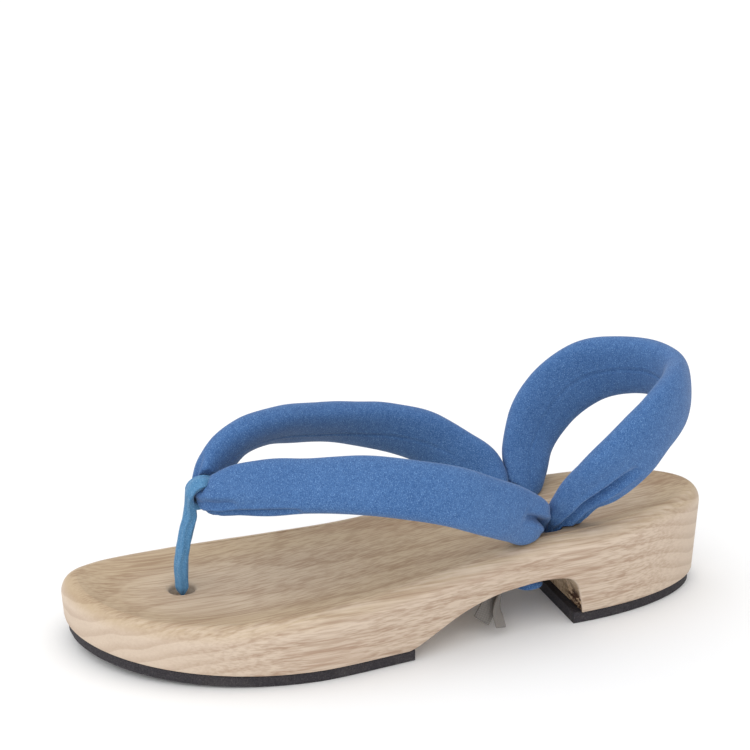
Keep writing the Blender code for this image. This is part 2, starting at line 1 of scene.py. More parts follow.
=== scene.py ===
# %% [markdown]
# A geta is a carved wooden board that hangs from padded cloth straps. The solids of the construction
# already have its true sizes, and this script dresses them: every piece is modelled again more
# finely in the same place, and gets its own finish. We start by loading the solids and keeping the
# box that they fill, because what we make has to stay inside it.

# %% Load the frame
import math

import bmesh
import bpy
import numpy as np
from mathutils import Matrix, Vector, noise
from mathutils.bvhtree import BVHTree


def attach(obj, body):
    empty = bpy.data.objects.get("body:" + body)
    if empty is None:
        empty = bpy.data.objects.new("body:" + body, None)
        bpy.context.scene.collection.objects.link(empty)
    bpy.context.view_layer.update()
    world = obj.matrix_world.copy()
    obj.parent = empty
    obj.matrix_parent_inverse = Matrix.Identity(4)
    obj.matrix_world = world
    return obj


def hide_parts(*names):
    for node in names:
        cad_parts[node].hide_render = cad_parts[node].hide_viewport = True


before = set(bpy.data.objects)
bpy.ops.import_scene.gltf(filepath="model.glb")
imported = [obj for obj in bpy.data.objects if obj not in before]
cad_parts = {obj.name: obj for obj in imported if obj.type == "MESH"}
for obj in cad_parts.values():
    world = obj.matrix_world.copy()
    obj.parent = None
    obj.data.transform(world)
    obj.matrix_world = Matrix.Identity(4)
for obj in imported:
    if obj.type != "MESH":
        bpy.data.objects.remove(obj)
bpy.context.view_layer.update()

MM = 0.001
print("solids:", ", ".join(sorted(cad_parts)))


# %% [markdown]
# The photograph was taken from the outer side, a little ahead of the shoe and looking down at it.
# A camera is set up first, since every later choice is judged through it. Its place and direction
# were worked out from the outline of the two treads, which lie on the floor.

# %% Camera
CAMERA_PLACE = Vector((-0.55818, 0.19940, 0.30178))
CAMERA_LOOK = Vector((0.8953, -0.3041, -0.3256))
LENS_MM = 81.6
SENSOR_MM = 36.0


def placed(name, data, place=(0, 0, 0), look=Vector((0, 0, -1))):
    """An object of the scene at a place, turned to look in a direction."""
    obj = bpy.data.objects.new(name, data)
    obj.location = place
    obj.rotation_euler = look.to_track_quat("-Z", "Y").to_euler()
    bpy.context.scene.collection.objects.link(obj)
    return obj


camera_data = bpy.data.cameras.new("camera")
camera_data.lens = LENS_MM
camera_data.sensor_width = SENSOR_MM
camera_data.clip_start = 0.01
camera = placed("camera", camera_data, CAMERA_PLACE, CAMERA_LOOK)
bpy.context.scene.camera = camera
print("camera looks down", round(math.degrees(-math.asin(CAMERA_LOOK.normalized().z)), 1), "degrees")


# %% [markdown]
# The object stands on a white sweep under a large, even light, brightest above the toe and dimmer
# behind the heel, so that upper faces are a little lighter than walls. A world whose strength follows
# the direction does this with no lamp showing as a spot. One broad weak lamp on the camera's side
# models the straps. The plain colour transform keeps the paints as we mix them.

# %% Floor and light
FLOOR_SIZE = 12.0
FLOOR_WHITE = 0.90
SKY_EVEN = 0.80
SKY_KEY = 0.72
KEY_DIRECTION = (-0.22, 0.50, 0.84)
LAMP_PLACE = Vector((-0.90, 0.55, 0.95))
LAMP_AIM = Vector((0, 0, 0.04))
LAMP_SIZE = 0.6
LAMP_WATTS = 1.2


def plain_object(name, vertices, faces):
    """An object from plain lists of places and faces."""
    mesh = bpy.data.meshes.new(name)
    mesh.from_pydata(vertices, [], faces)
    return placed(name, mesh)


def add(tree, kind, inputs=(), **settings):
    """A shader node, with its inputs given as values or as the sockets to link to them."""
    made = tree.nodes.new("ShaderNode" + kind)
    for key, value in settings.items():
        setattr(made, key, value)
    for key, value in dict(inputs).items():
        if isinstance(value, bpy.types.NodeSocket):
            tree.links.new(value, made.inputs[key])
        else:
            made.inputs[key].default_value = value
    return made


def new_material(name, **constants):
    """A material, the tree that feeds its Principled shader, and the shader's inputs."""
    made = bpy.data.materials.new(name)
    made.use_nodes = True
    sockets = made.node_tree.nodes["Principled BSDF"].inputs
    for key, value in constants.items():
        sockets[key.replace("_", " ")].default_value = value
    return made, made.node_tree, sockets


half = FLOOR_SIZE / 2
corners = [(-half, -half, 0), (half, -half, 0), (half, half, 0), (-half, half, 0)]
floor = plain_object("floor", corners, [(0, 1, 2, 3)])
floor_white = (FLOOR_WHITE, FLOOR_WHITE, FLOOR_WHITE, 1)
floor_paint = new_material("pale_floor", Base_Color=floor_white, Roughness=0.9, Specular_IOR_Level=0.1)[0]
floor.data.materials.append(floor_paint)

world = bpy.data.worlds.new("studio")
world.use_nodes = True
sky = world.node_tree
direction = add(sky, "TexCoord").outputs["Generated"]
towards = add(sky, "VectorMath", {0: direction, 1: KEY_DIRECTION}, operation="DOT_PRODUCT").outputs["Value"]
strength = add(sky, "Math", {0: towards, 1: SKY_KEY, 2: SKY_EVEN}, operation="MULTIPLY_ADD")
sky.nodes["Background"].inputs["Color"].default_value = (1, 1, 1, 1)
sky.links.new(strength.outputs[0], sky.nodes["Background"].inputs["Strength"])
bpy.context.scene.world = world
lamp_data = bpy.data.lights.new("camera_side", "AREA")
lamp_data.size, lamp_data.energy = LAMP_SIZE, LAMP_WATTS
placed("camera_side", lamp_data, LAMP_PLACE, LAMP_AIM - LAMP_PLACE)
bpy.context.scene.view_settings.view_transform = "Standard"
print("floor, sky and one lamp")


# %% [markdown]
# The board is carved from one block: a dished footbed inside a rounded rim, a high heel block, a low
# forefoot block and a sawn arch between them. Its form is a few curves over its length, so we keep
# short tables of shares and a curve that passes through them without overshooting. These are the
# sizes of the solid, repeated here to give it hundreds of sections in place of dozens.

# %% Sizes of the board
SOLE_LENGTH = 0.252
SOLE_WIDTH = 0.087
HEEL_HEIGHT = 0.0403
BALL_HEIGHT = 0.0228
TREAD_THICKNESS = 0.0048
ARCH_HEIGHT = 0.0168
TOE_SPRING = 0.0044
RIM_RADIUS = 0.0060
DISH_DEPTH = 0.0030
WALL_DRAFT = 0.045
EDGE_BREAK = 0.0008
ARCH_BACK = 0.249
ARCH_FRONT = 0.538
SPRING_START = 0.690
HEEL_ROUND = 0.260
TOE_ROUND = {"outer": 0.660, "inner": 0.820}
TOE_POWER = {"outer": 2.0, "inner": 2.6}
TOE_TIP_ACROSS = 0.210

SIDES = {
    "along": (0.00, 0.26, 0.40, 0.54, 0.68, 0.82, 1.00),
    "outer": (0.366, 0.372, 0.410, 0.462, 0.500, 0.500, 0.500),
    "inner": (0.372, 0.372, 0.356, 0.382, 0.445, 0.500, 0.500),
}
PROFILE = {
    "along": (0.00, 0.10, 0.22, 0.31, 0.41, 0.50, 0.60, 0.72, 0.80, 0.88, 0.95, 1.00),
    "rim": (1.000, 0.950, 0.857, 0.811, 0.651, 0.469, 0.290, 0.126, 0.032, 0.000, 0.025, 0.090),
    "dish": (0.00, 0.90, 1.00, 0.75, 0.45, 0.40, 0.60, 0.85, 0.95, 0.85, 0.50, 0.00),
}
ARCH = {
    "along": (0, 0.012, 0.024, 0.038, 0.062, 0.10, 0.16, 0.25, 0.36, 0.475, 0.58, 0.69, 0.795, 0.90, 0.96, 1),
    "height": (0, 0.28, 0.56, 0.73, 0.86, 0.94, 0.98, 1, 0.975, 0.925, 0.82, 0.655, 0.43, 0.18, 0.05, 0),
}


# %% Curves of the board
def cubic(start, end, leaving, arriving, step, t):
    """The cubic between two values with a slope at each, at a share t of the step."""
    return (
        start * (1 + 2 * t) * (1 - t) ** 2
        + leaving * step * t * (1 - t) ** 2
        + end * t * t * (3 - 2 * t)
        + arriving * step * t * t * (t - 1)
    )


def smooth(xs, ys, x):
    """A monotone cubic curve through the points, so that it never overshoots one."""
    xs, ys = np.asarray(xs, float), np.asarray(ys, float)
    step = np.diff(xs)
    slope = np.diff(ys) / step
    tangent = np.zeros_like(ys)
    same_way = slope[:-1] * slope[1:] > 0
    mean = 2 * slope[:-1] * slope[1:] / np.where(same_way, slope[:-1] + slope[1:], 1)
    tangent[1:-1] = np.where(same_way, mean, 0)
    tangent[0], tangent[-1] = slope[0], slope[-1]
    x = np.clip(x, xs[0], xs[-1])
    i = np.clip(np.searchsorted(xs, x, side="right") - 1, 0, len(step) - 1)
    t = (x - xs[i]) / step[i]
    return cubic(ys[i], ys[i + 1], tangent[i], tangent[i + 1], step[i], t)


def along_to_y(along):
    return (along - 0.5) * SOLE_LENGTH


def y_to_along(y):
    return y / SOLE_LENGTH + 0.5


def rounding(share, power):
    """How much of the half width is left at this share of a rounded end."""
    return (1 - np.clip(share, 0, 1) ** power) ** (1 / power)


def edge_x(along, side):
    """X of the sole's edge on the outer or the inner side."""
    sign = -1 if side == "outer" else 1
    half_width = sign * smooth(SIDES["along"], SIDES[side], along) * SOLE_WIDTH
    x = half_width * rounding((HEEL_ROUND - along) / HEEL_ROUND, 2.0)
    tip = TOE_TIP_ACROSS * SOLE_WIDTH
    start = TOE_ROUND[side]
    toe = tip + (x - tip) * rounding((along - start) / (1 - start), TOE_POWER[side])
    return np.where(along < start, x, toe)


def rim_z(along):
    return BALL_HEIGHT + smooth(PROFILE["along"], PROFILE["rim"], along) * (HEEL_HEIGHT - BALL_HEIGHT)


def spring_z(along):
    """How far the underside rises off the floor towards the toe."""
    return TOE_SPRING * np.clip((along - SPRING_START) / (1 - SPRING_START), 0, 1) ** 2


def underside_z(along):
    arch = smooth(ARCH["along"], ARCH["height"], (along - ARCH_BACK) / (ARCH_FRONT - ARCH_BACK))
    return TREAD_THICKNESS + spring_z(along) + arch * ARCH_HEIGHT


def footbed_z(x, y):
    """Height of the footbed inside the rim: dished across, most where a foot rests."""
    flat = (y + SOLE_LENGTH / 2 - RIM_RADIUS) / (SOLE_LENGTH - 2 * RIM_RADIUS)
    outer, inner = edge_x(y_to_along(y), "outer"), edge_x(y_to_along(y), "inner")
    half_width = np.maximum((inner - outer) / 2 - RIM_RADIUS, EDGE_BREAK)
    across = np.minimum(np.abs(x - (outer + inner) / 2) / half_width, 1)
    depth = smooth(PROFILE["along"], PROFILE["dish"], flat)
    return rim_z(flat) - depth * DISH_DEPTH * (1 - across**2) ** 2 * (1 + 2 * across**2)


def inside_edge(x, y):
    """Distance from the sole's edge across the board, negative beside it."""
    along = y_to_along(y)
    return np.minimum(x - edge_x(along, "outer"), edge_x(along, "inner") - x)


print("heel", HEEL_HEIGHT / MM, "mm high, ball", BALL_HEIGHT / MM, "mm")


# %% [markdown]
# One way to carve such a board would be a Boolean of simple blocks, but its rim and wall change all
# along its length. So we stack rings round the outline instead: up the wall, over the rim, and then
# close the top and the bottom with strips from side to side. Fine sections matter most at the two
# rounded ends and at the steep back of the arch.

# %% Rings round the sole
def stations(heel_count, arch_count, middle_count, toe_count):
    """Shares of the length where the board is cut into sections."""
    heel = HEEL_ROUND * (1 - np.cos(np.linspace(0, math.pi / 2, heel_count)))
    toe = 1 - (1 - TOE_ROUND["inner"]) * (1 - np.cos(np.linspace(0, math.pi / 2, toe_count)))[::-1]
    arch = ARCH_BACK + (ARCH_FRONT - ARCH_BACK) * np.linspace(0, 1, arch_count) ** 1.6
    middle = np.linspace(ARCH_FRONT, TOE_ROUND["inner"], middle_count)
    return np.unique(np.round(np.concatenate([heel[heel < ARCH_BACK], arch, middle, toe]), 6))


def side_lines(alongs, inset):
    """The sole's outer and inner edge, moved inwards by inset at each station."""
    found = []
    for side, sign in (("outer", 1), ("inner", -1)):
        points = np.stack([edge_x(alongs, side), along_to_y(alongs)], axis=1)
        run = np.gradient(points, axis=0)
        run /= np.linalg.norm(run, axis=1)[:, None]
        inward = sign * np.stack([run[:, 1], -run[:, 0]], axis=1)
        inward[alongs <= 0] = (0, 1)
        inward[alongs >= 1] = (0, -1)
        found.append(points + inward * np.broadcast_to(inset, len(alongs))[:, None])
    return found


print("sole: up to", len(stations(60, 150, 60, 60)), "sections")


# %% [markdown]
# Each ring is drawn at its own height, and faces join it to the next. The first and the last ring are
# closed by rows from the outer to the inner side, which lie on the footbed above.

# %% Close the rings into a body
def layered_form(name, alongs, levels, top_shares, top_height, bottom_shares):
    """A closed mesh from rings, each a row of (inset, height, forward shift) over the stations.

    The ring of level k is outer side then inner side back, and its two ends are shared when they are
    the rounded tips of the sole.
    """
    vertices = []
    faces = []
    rings = []
    for inset, height, shift in levels:
        outer, inner = side_lines(alongs, inset)
        z = np.broadcast_to(height, len(alongs))
        dy = np.broadcast_to(shift, len(alongs))
        ids = [[], []]
        for side, points in enumerate((outer, inner)):
            for i, p in enumerate(points):
                at_tip = (i == 0 and alongs[0] <= 0) or (i == len(points) - 1 and alongs[-1] >= 1)
                if side == 1 and at_tip:
                    ids[1].append(ids[0][i])
                    continue
                ids[side].append(len(vertices))
                vertices.append((p[0], p[1] + dy[i], z[i]))
        rings.append((ids[0], ids[1], list(dict.fromkeys(ids[0] + ids[1][::-1]))))
    for (_, _, low), (_, _, high) in zip(rings, rings[1:]):
        for a in range(len(low)):
            b = (a + 1) % len(low)
            faces.append((low[a], low[b], high[b], high[a]))
    for (outer, inner, _), shares, height, turn in (
        (rings[0], bottom_shares, None, -1), (rings[-1], top_shares, top_height, 1)
    ):
        rows = []
        for left, right in zip(outer, inner):
            if left == right:
                rows.append([left] * (len(shares) + 2))
                continue
            a, b = np.array(vertices[left]), np.array(vertices[right])
            row = [left]
            for share in shares:
                p = a + (b - a) * share
                row.append(len(vertices))
                vertices.append((p[0], p[1], float(height(p[0], p[1])) if height else p[2]))
            rows.append(row + [right])
        for a, b in zip(rows, rows[1:]):
            for k in range(len(shares) + 1):
                face = tuple(dict.fromkeys((a[k], a[k + 1], b[k + 1], b[k])[::turn]))
                faces.append(face)
    obj = plain_object(name, [tuple(map(float, v)) for v in vertices], faces)
    clean(obj)
    return obj


def clean(obj):
    """Merges doubled vertices, turns every face outwards and shades it smooth."""
    bm = bmesh.new()
    bm.from_mesh(obj.data)
    bmesh.ops.remove_doubles(bm, verts=bm.verts, dist=1e-6)
    bm.normal_update()
    bmesh.ops.recalc_face_normals(bm, faces=bm.faces)
    bm.to_mesh(obj.data)
    bm.free()
    obj.data.shade_smooth()


print("rings and rows: ready for the board and the treads")


# %% [markdown]
# The board's rings go round the broken lower edge, up the wall with its slight draft, and over the
# rounded rim.

# %% Rings of the board
BREAK_RINGS = 4
WALL_RINGS = 14
RIM_RINGS = 10
TOP_LINES = 41
BOTTOM_LINES = 91


def board_form():
    alongs = stations(60, 150, 60, 60)
    under = underside_z(alongs)
    shoulder = rim_z(alongs) - RIM_RADIUS
    draft = WALL_DRAFT * (shoulder - under)
    run = np.gradient(np.stack([along_to_y(alongs), under], axis=1), axis=0)
    run /= np.linalg.norm(run, axis=1)[:, None]
    ahead, rise = run.T
    base = under + EDGE_BREAK * ahead
    levels = []
    for angle in np.linspace(0, math.pi / 2, BREAK_RINGS):
        lift = EDGE_BREAK * (1 - math.cos(angle))
        inset = draft + EDGE_BREAK * (1 - math.sin(angle))
        levels.append((inset, under + lift * ahead, -lift * rise))
    for share in np.linspace(0, 1, WALL_RINGS)[1:]:
        left = 1 - share
        levels.append((draft * left, base + share * (shoulder - base), -EDGE_BREAK * rise * left))
    for angle in np.linspace(0, math.pi / 2, RIM_RINGS)[1:]:
        inset = RIM_RADIUS * (1 - math.cos(angle))
        levels.append((inset, shoulder + RIM_RADIUS * math.sin(angle), 0))
    across = (1 - np.cos(np.linspace(0, math.pi, TOP_LINES))) / 2
    below = np.linspace(0, 1, BOTTOM_LINES) ** 1.25
    return layered_form("board", alongs, levels, across[1:-1], footbed_z, below[1:-1])


print("board:", BREAK_RINGS + WALL_RINGS + RIM_RINGS - 2, "rings")


# %% [markdown]
# The rear holes and the front one are bored with a cutter turned on a vertical axis, which also breaks
# their upper edges. Below, the front hole opens into a pocket for its knot.

# %% Bore the strap holes
REAR_HOLE_RADIUS = 0.0060
REAR_HOLE_ALONG = 0.290
REAR_HOLE_ACROSS = 0.175
FRONT_HOLE_RADIUS = 0.0048
FRONT_HOLE_ALONG = 0.830
FRONT_HOLE_ACROSS = 0.090
HOLE_CHAMFER = 0.0009
KNOT_POCKET_RADIUS = 0.0095
KNOT_POCKET_DEPTH = 0.0060
CUT_MARGIN = 0.0100
HOLE_SIDES = 64


def rear_hole(sign):
    """Centre of a rear hole: sign is -1 on the outer side and 1 on the inner one."""
    return sign * REAR_HOLE_ACROSS * SOLE_WIDTH, along_to_y(REAR_HOLE_ALONG)


def front_hole():
    return FRONT_HOLE_ACROSS * SOLE_WIDTH, along_to_y(FRONT_HOLE_ALONG)


def cut_round(obj, x, y, profile):
    """Cuts a turned form on a vertical axis from the object, given as (radius, height) upwards."""
    angles = np.linspace(0, 2 * math.pi, HOLE_SIDES, endpoint=False)
    vertices = [(x + r * math.cos(a), y + r * math.sin(a), z) for r, z in profile for a in angles]
    faces = []
    for level in range(len(profile) - 1):
        for i in range(HOLE_SIDES):
            j = (i + 1) % HOLE_SIDES
            low, high = level * HOLE_SIDES, (level + 1) * HOLE_SIDES
            faces.append((low + i, low + j, high + j, high + i))
    faces.append(tuple(range(HOLE_SIDES))[::-1])
    faces.append(tuple(range((len(profile) - 1) * HOLE_SIDES, len(profile) * HOLE_SIDES)))
    cutter = plain_object("cutter", vertices, faces)
    modifier = obj.modifiers.new("cut", "BOOLEAN")
    modifier.operation = "DIFFERENCE"
    modifier.object = cutter
    apply_modifiers(obj)
    bpy.data.objects.remove(cutter)


def apply_modifiers(obj):
    """Makes what the modifiers show the object's own mesh."""
    bpy.context.view_layer.update()
    shown = obj.evaluated_get(bpy.context.evaluated_depsgraph_get())
    mesh = bpy.data.meshes.new_from_object(shown)
    obj.modifiers.clear()
    obj.data = mesh


board = board_form()
top = HEEL_HEIGHT + CUT_MARGIN
for sign in (-1, 1):
    x, y = rear_hole(sign)
    surface = float(footbed_z(x, y))
    flare = top - surface + HOLE_CHAMFER
    cut_round(board, x, y, (
        (REAR_HOLE_RADIUS, TREAD_THICKNESS),
        (REAR_HOLE_RADIUS, surface - HOLE_CHAMFER),
        (REAR_HOLE_RADIUS + flare, top),
    ))
x, y = front_hole()
surface = float(footbed_z(x, y))
pocket_top = float(underside_z(FRONT_HOLE_ALONG)) + KNOT_POCKET_DEPTH
cut_round(board, x, y, (
    (KNOT_POCKET_RADIUS, -CUT_MARGIN),
    (KNOT_POCKET_RADIUS, pocket_top),
    (FRONT_HOLE_RADIUS, pocket_top + EDGE_BREAK),
    (FRONT_HOLE_RADIUS, surface - HOLE_CHAMFER),
    (FRONT_HOLE_RADIUS + top - surface + HOLE_CHAMFER, top),
))
board.data.shade_smooth()
board.data.set_sharp_from_angle(angle=math.radians(50))
print("board:", len(board.data.polygons), "faces")


# %% [markdown]
# The treads are cut from black sheet rubber and glued under the two blocks. They are a little smaller
# than the wood, with square edges, and the front one bends up with the toe. The same stack of rings
# makes them.

# %% Treads
TREAD_INSET = 0.0014
TREAD_OVERHANG = 0.0028
GAP = 0.0003
TREAD_BREAK = 0.0004


def tread_form(name, start, end):
    alongs = stations(50, 30, 50, 50)
    alongs = np.concatenate([[start], alongs[(alongs > start + 0.002) & (alongs < end - 0.002)], [end]])
    lowest = spring_z(alongs)
    inset = TREAD_INSET + WALL_DRAFT * (rim_z(alongs) - RIM_RADIUS - TREAD_THICKNESS - lowest)
    height = TREAD_THICKNESS - GAP
    levels = [(inset + TREAD_BREAK, lowest, 0)]
    for share in np.linspace(0, 1, 5):
        levels.append((inset, lowest + TREAD_BREAK + share * (height - 2 * TREAD_BREAK), 0))
    levels.append((inset + TREAD_BREAK, lowest + height, 0))
    shares = np.linspace(0, 1, 17)[1:-1]
    obj = layered_form(name, alongs, levels, shares, None, shares)
    obj.data.set_sharp_from_angle(angle=math.radians(35))
    return obj


overhang = TREAD_OVERHANG / SOLE_LENGTH
front_sheet = tread_form("forefoot_rubber", ARCH_FRONT - overhang, 1.0)
cut_round(front_sheet, *front_hole(), ((KNOT_POCKET_RADIUS, -CUT_MARGIN), (KNOT_POCKET_RADIUS, top)))
heel_sheet = tread_form("heel_rubber", 0.0, ARCH_BACK + overhang)
print("treads:", len(front_sheet.data.polygons), "and", len(heel_sheet.data.polygons), "faces")


# %% [markdown]
# A geta strap is a tube of crepe cloth over soft padding. It is fat over the foot and narrows to a
# neck where it goes down a hole, and there the cloth gathers in folds. Blender's curve bevel could
# sweep a tube, but not one whose width, thickness and twist all change, so we sweep sections
# ourselves with numpy. Each point of the skin keeps how far along and how far round the strap it is,
# because the folds are placed by those two.

# %% Sizes of the straps
STRAP_WIDTH = 0.0215
STRAP_THICKNESS = 0.0115
STRAP_HEIGHT = 0.0500
NECK_WIDTH = 0.0046
NECK_THICKNESS = 0.0066
APEX_WIDTH = 0.0080
APEX_THICKNESS = 0.0068
CROSSING_WIDTH = 0.0078
CROSSING_THICKNESS = 0.0070
CROSSING_BEND = 0.0046
CROSSING_DROP = 0.0064
SEAT_GAP = 0.0006
NECK_GAP = 0.0008
NECK_STEP = 0.0016
NECK_SPREAD = 0.0006
NECK_FLARE = 0.4
KNOT_DROP = 0.0088
KNOT_WIDTH = 0.0118
KNOT_SHIFT = 0.0036
APEX_ALONG = 0.793
APEX_ACROSS = 0.092
APEX_LIFT = 0.711
APEX_SINK = 0.0016
LOOP_WIDTH = 0.0074
LOOP_THICKNESS = 0.0030
LOOP_LEAN = 23.0
LOOP_SQUEEZE = 0.25
LOOP_GAP = 0.0003
LOOP_TUCK = 0.80
BULGE_REACH = 0.0140
BULGE_START = 1.25
BULGE_END = 2.3
BULGE_FADE = 0.35
STRAP_GAP = 0.0002
STRAP_SIDES = 140

# Columns: along and across as shares of the sole, lift as a share of STRAP_HEIGHT above the rim,
# width and thickness as shares of the strap's own, turn and tilt of its broad face in degrees. The
# loop squeezes the arms where they join, and the last rows of both hold the bulge beside it
OUTER_ARM = (
    (0.314, 0.216, 0.045, 0.60, 0.87, 0, 0),
    (0.329, 0.292, 0.129, 0.87, 0.97, 0, 5),
    (0.362, 0.356, 0.269, 0.96, 0.90, 5, 10),
    (0.409, 0.414, 0.435, 1.00, 0.97, 5, 18),
    (0.476, 0.437, 0.639, 1.00, 1.00, 8, 28),
    (0.534, 0.402, 0.742, 1.00, 1.00, 20, 38),
    (0.599, 0.310, 0.802, 1.00, 1.00, 28, 42),
    (0.671, 0.178, 0.786, 0.95, 0.96, 38, 38),
    (0.722, 0.075, 0.757, 0.94, 0.92, 40, 26),
    (0.755, 0.014, 0.728, 0.85, 0.86, 42, 14),
    (0.772, -0.012, 0.702, 0.76, 0.80, 52, 6),
    (0.782, -0.036, 0.678, 0.67, 0.72, 62, 4),
    (0.788, -0.054, 0.660, 0.57, 0.66, 72, 2),
)
INNER_ARM = (
    (0.314, 0.216, 0.045, 0.60, 0.87, 0, 0),
    (0.328, 0.287, 0.142, 0.87, 0.92, 0, 5),
    (0.361, 0.359, 0.288, 0.96, 0.90, 5, 8),
    (0.403, 0.414, 0.440, 1.00, 0.97, 5, 12),
    (0.468, 0.439, 0.609, 1.00, 1.00, 8, 22),
    (0.536, 0.425, 0.743, 1.00, 1.00, 18, 38),
    (0.603, 0.372, 0.856, 1.00, 1.00, 28, 46),
    (0.669, 0.294, 0.948, 0.99, 0.96, 34, 44),
    (0.724, 0.228, 0.950, 0.95, 0.90, 40, 30),
    (0.756, 0.191, 0.880, 0.88, 0.84, 36, 15),
    (0.778, 0.166, 0.785, 0.70, 0.76, 54, 8),
    (0.788, 0.146, 0.720, 0.50, 0.66, 66, 6),
)
HEEL_STRAP = (
    (0.268, 0.198, 0.000, 0.58, 0.84, 0, 0),
    (0.260, 0.239, 0.110, 0.76, 0.85, -5, 4),
    (0.249, 0.297, 0.261, 0.93, 0.85, -8, 6),
    (0.229, 0.354, 0.406, 1.09, 0.89, -12, 8),
    (0.190, 0.391, 0.617, 1.21, 0.96, -25, 10),
    (0.142, 0.354, 0.790, 1.22, 1.00, -48, 10),
    (0.092, 0.238, 0.886, 1.12, 1.00, -65, 8),
    (0.063, 0.092, 0.920, 1.02, 0.97, -82, 5),
)
# Columns: down as a share of KNOT_DROP, width, thickness and shift as shares of the knot's own
KNOT = (
    (1.00, 0.30, 0.30, 1.0),
    (0.92, 0.74, 0.84, 1.0),
    (0.66, 0.94, 1.10, 1.0),
    (0.42, 0.84, 0.92, 0.8),
)


# %% Rows for the sweeps
def neck_y(ahead):
    """Y of a neck in a rear hole: ahead is 1 for the instep strap and -1 for the heel strap."""
    return rear_hole(1)[1] + ahead * (NECK_WIDTH + NECK_GAP) / 2


def facing(sign, turn, tilt):
    turn, tilt = math.radians(turn), math.radians(tilt)
    return sign * math.cos(turn) * math.cos(tilt), math.sin(turn) * math.cos(tilt), math.sin(tilt)


def strap_rows(table, sign):
    """A strap table as rows of (x, y, z, width, thickness, outward x, y, z)."""
    rows = []
    for along, across, lift, width, thickness, turn, tilt in table:
        place = (sign * across * SOLE_WIDTH, along_to_y(along), float(rim_z(along)) + lift * STRAP_HEIGHT)
        rows.append((*place, width * STRAP_WIDTH, thickness * STRAP_THICKNESS, *facing(sign, turn, tilt)))
    return rows


def neck_rows(sign, ahead, lowest):
    x, hole_y = rear_hole(sign)
    highest = float(footbed_z(x, hole_y)) - HOLE_CHAMFER
    heights = np.linspace(lowest, highest, 3)
    rows = []
    for z, spread in zip(heights, (0.0, 0.2, 1.0)):
        y = neck_y(ahead) + spread * ahead * NECK_SPREAD
        width = NECK_WIDTH + 2 * spread * NECK_SPREAD
        rows.append((x, y, z, width, NECK_THICKNESS * (1 + NECK_FLARE * spread), sign, 0, 0))
    return rows


def arm_rows(table, sign):
    """One arm of the instep strap: its knot, its neck in the hole, and its way to the apex."""
    x = rear_hole(sign)[0]
    ceiling = float(underside_z(REAR_HOLE_ALONG))
    knot = []
    for down, width, thickness, shift in KNOT:
        place = (x, neck_y(1) + KNOT_SHIFT * shift, ceiling - SEAT_GAP - down * KNOT_DROP)
        knot.append((*place, KNOT_WIDTH * width, KNOT_WIDTH * thickness, sign, 0, 0))
    return knot + neck_rows(sign, 1, ceiling - NECK_STEP) + strap_rows(table, sign)


def apex():
    """Where the two arms join, over the gap between the first two toes."""
    height = float(rim_z(APEX_ALONG)) + APEX_LIFT * STRAP_HEIGHT - APEX_SINK
    return np.array((APEX_ACROSS * SOLE_WIDTH, along_to_y(APEX_ALONG), height))


def loop_axes():
    """The loop's own directions: ahead, up over the join, and along the straps that it squeezes."""
    lean = math.radians(LOOP_LEAN)
    ahead, up = np.array((0, 1, 0)), np.array((-math.sin(lean), 0, math.cos(lean)))
    return ahead, up, np.cross(ahead, up)


def heel_rows():
    """The heel strap as a closed loop: under the arch, up through a hole, round the heel and back."""
    x, y = rear_hole(-1)[0], neck_y(-1)
    crossing_z = float(underside_z(REAR_HOLE_ALONG)) - CROSSING_DROP
    slope = CROSSING_BEND * (1 - math.sqrt(0.5))
    rows = [
        (x + 2.2 * CROSSING_BEND, y, crossing_z, CROSSING_WIDTH, CROSSING_THICKNESS, 0, 0, -1),
        (x + CROSSING_BEND, y, crossing_z, 0.9 * CROSSING_WIDTH, CROSSING_THICKNESS, 0, 0, -1),
        (x + slope, y, crossing_z + slope, NECK_WIDTH, NECK_THICKNESS, -1, 0, -1),
        *neck_rows(-1, -1, crossing_z + CROSSING_BEND),
        *strap_rows(HEEL_STRAP, -1),
    ]
    return rows + [(-row[0], *row[1:5], -row[5], *row[6:]) for row in rows[::-1]]


def spline(points, count, closed):
    """Even samples along a smooth curve through rows of numbers, whose first three are a place."""
    points = np.asarray(points, float)
    if closed:
        points = np.concatenate([points[-2:], points, points[:3]])
    places = np.concatenate([[0], np.cumsum(np.linalg.norm(np.diff(points[:, :3], axis=0), axis=1))])
    tangents = np.gradient(points, places, axis=0)
    first, last = (places[2], places[-3]) if closed else (places[0], places[-1])
    at = np.linspace(first, last, count + 1 if closed else count)
    at = at[:-1] if closed else at
    i = np.clip(np.searchsorted(places, at, side="right") - 1, 0, len(places) - 2)
    step = (places[i + 1] - places[i])[:, None]
    t = ((at - places[i]) / step[:, 0])[:, None]
    return cubic(points[i], points[i + 1], tangents[i], tangents[i + 1], step, t)


# %% A swept tube
def mark(obj, name, values):
    """Keeps a number on each vertex, for the finish to read."""
    made = obj.data.attributes.new(name, "FLOAT", "POINT")
    made.data.foreach_set("value", np.asarray(values, np.float32))


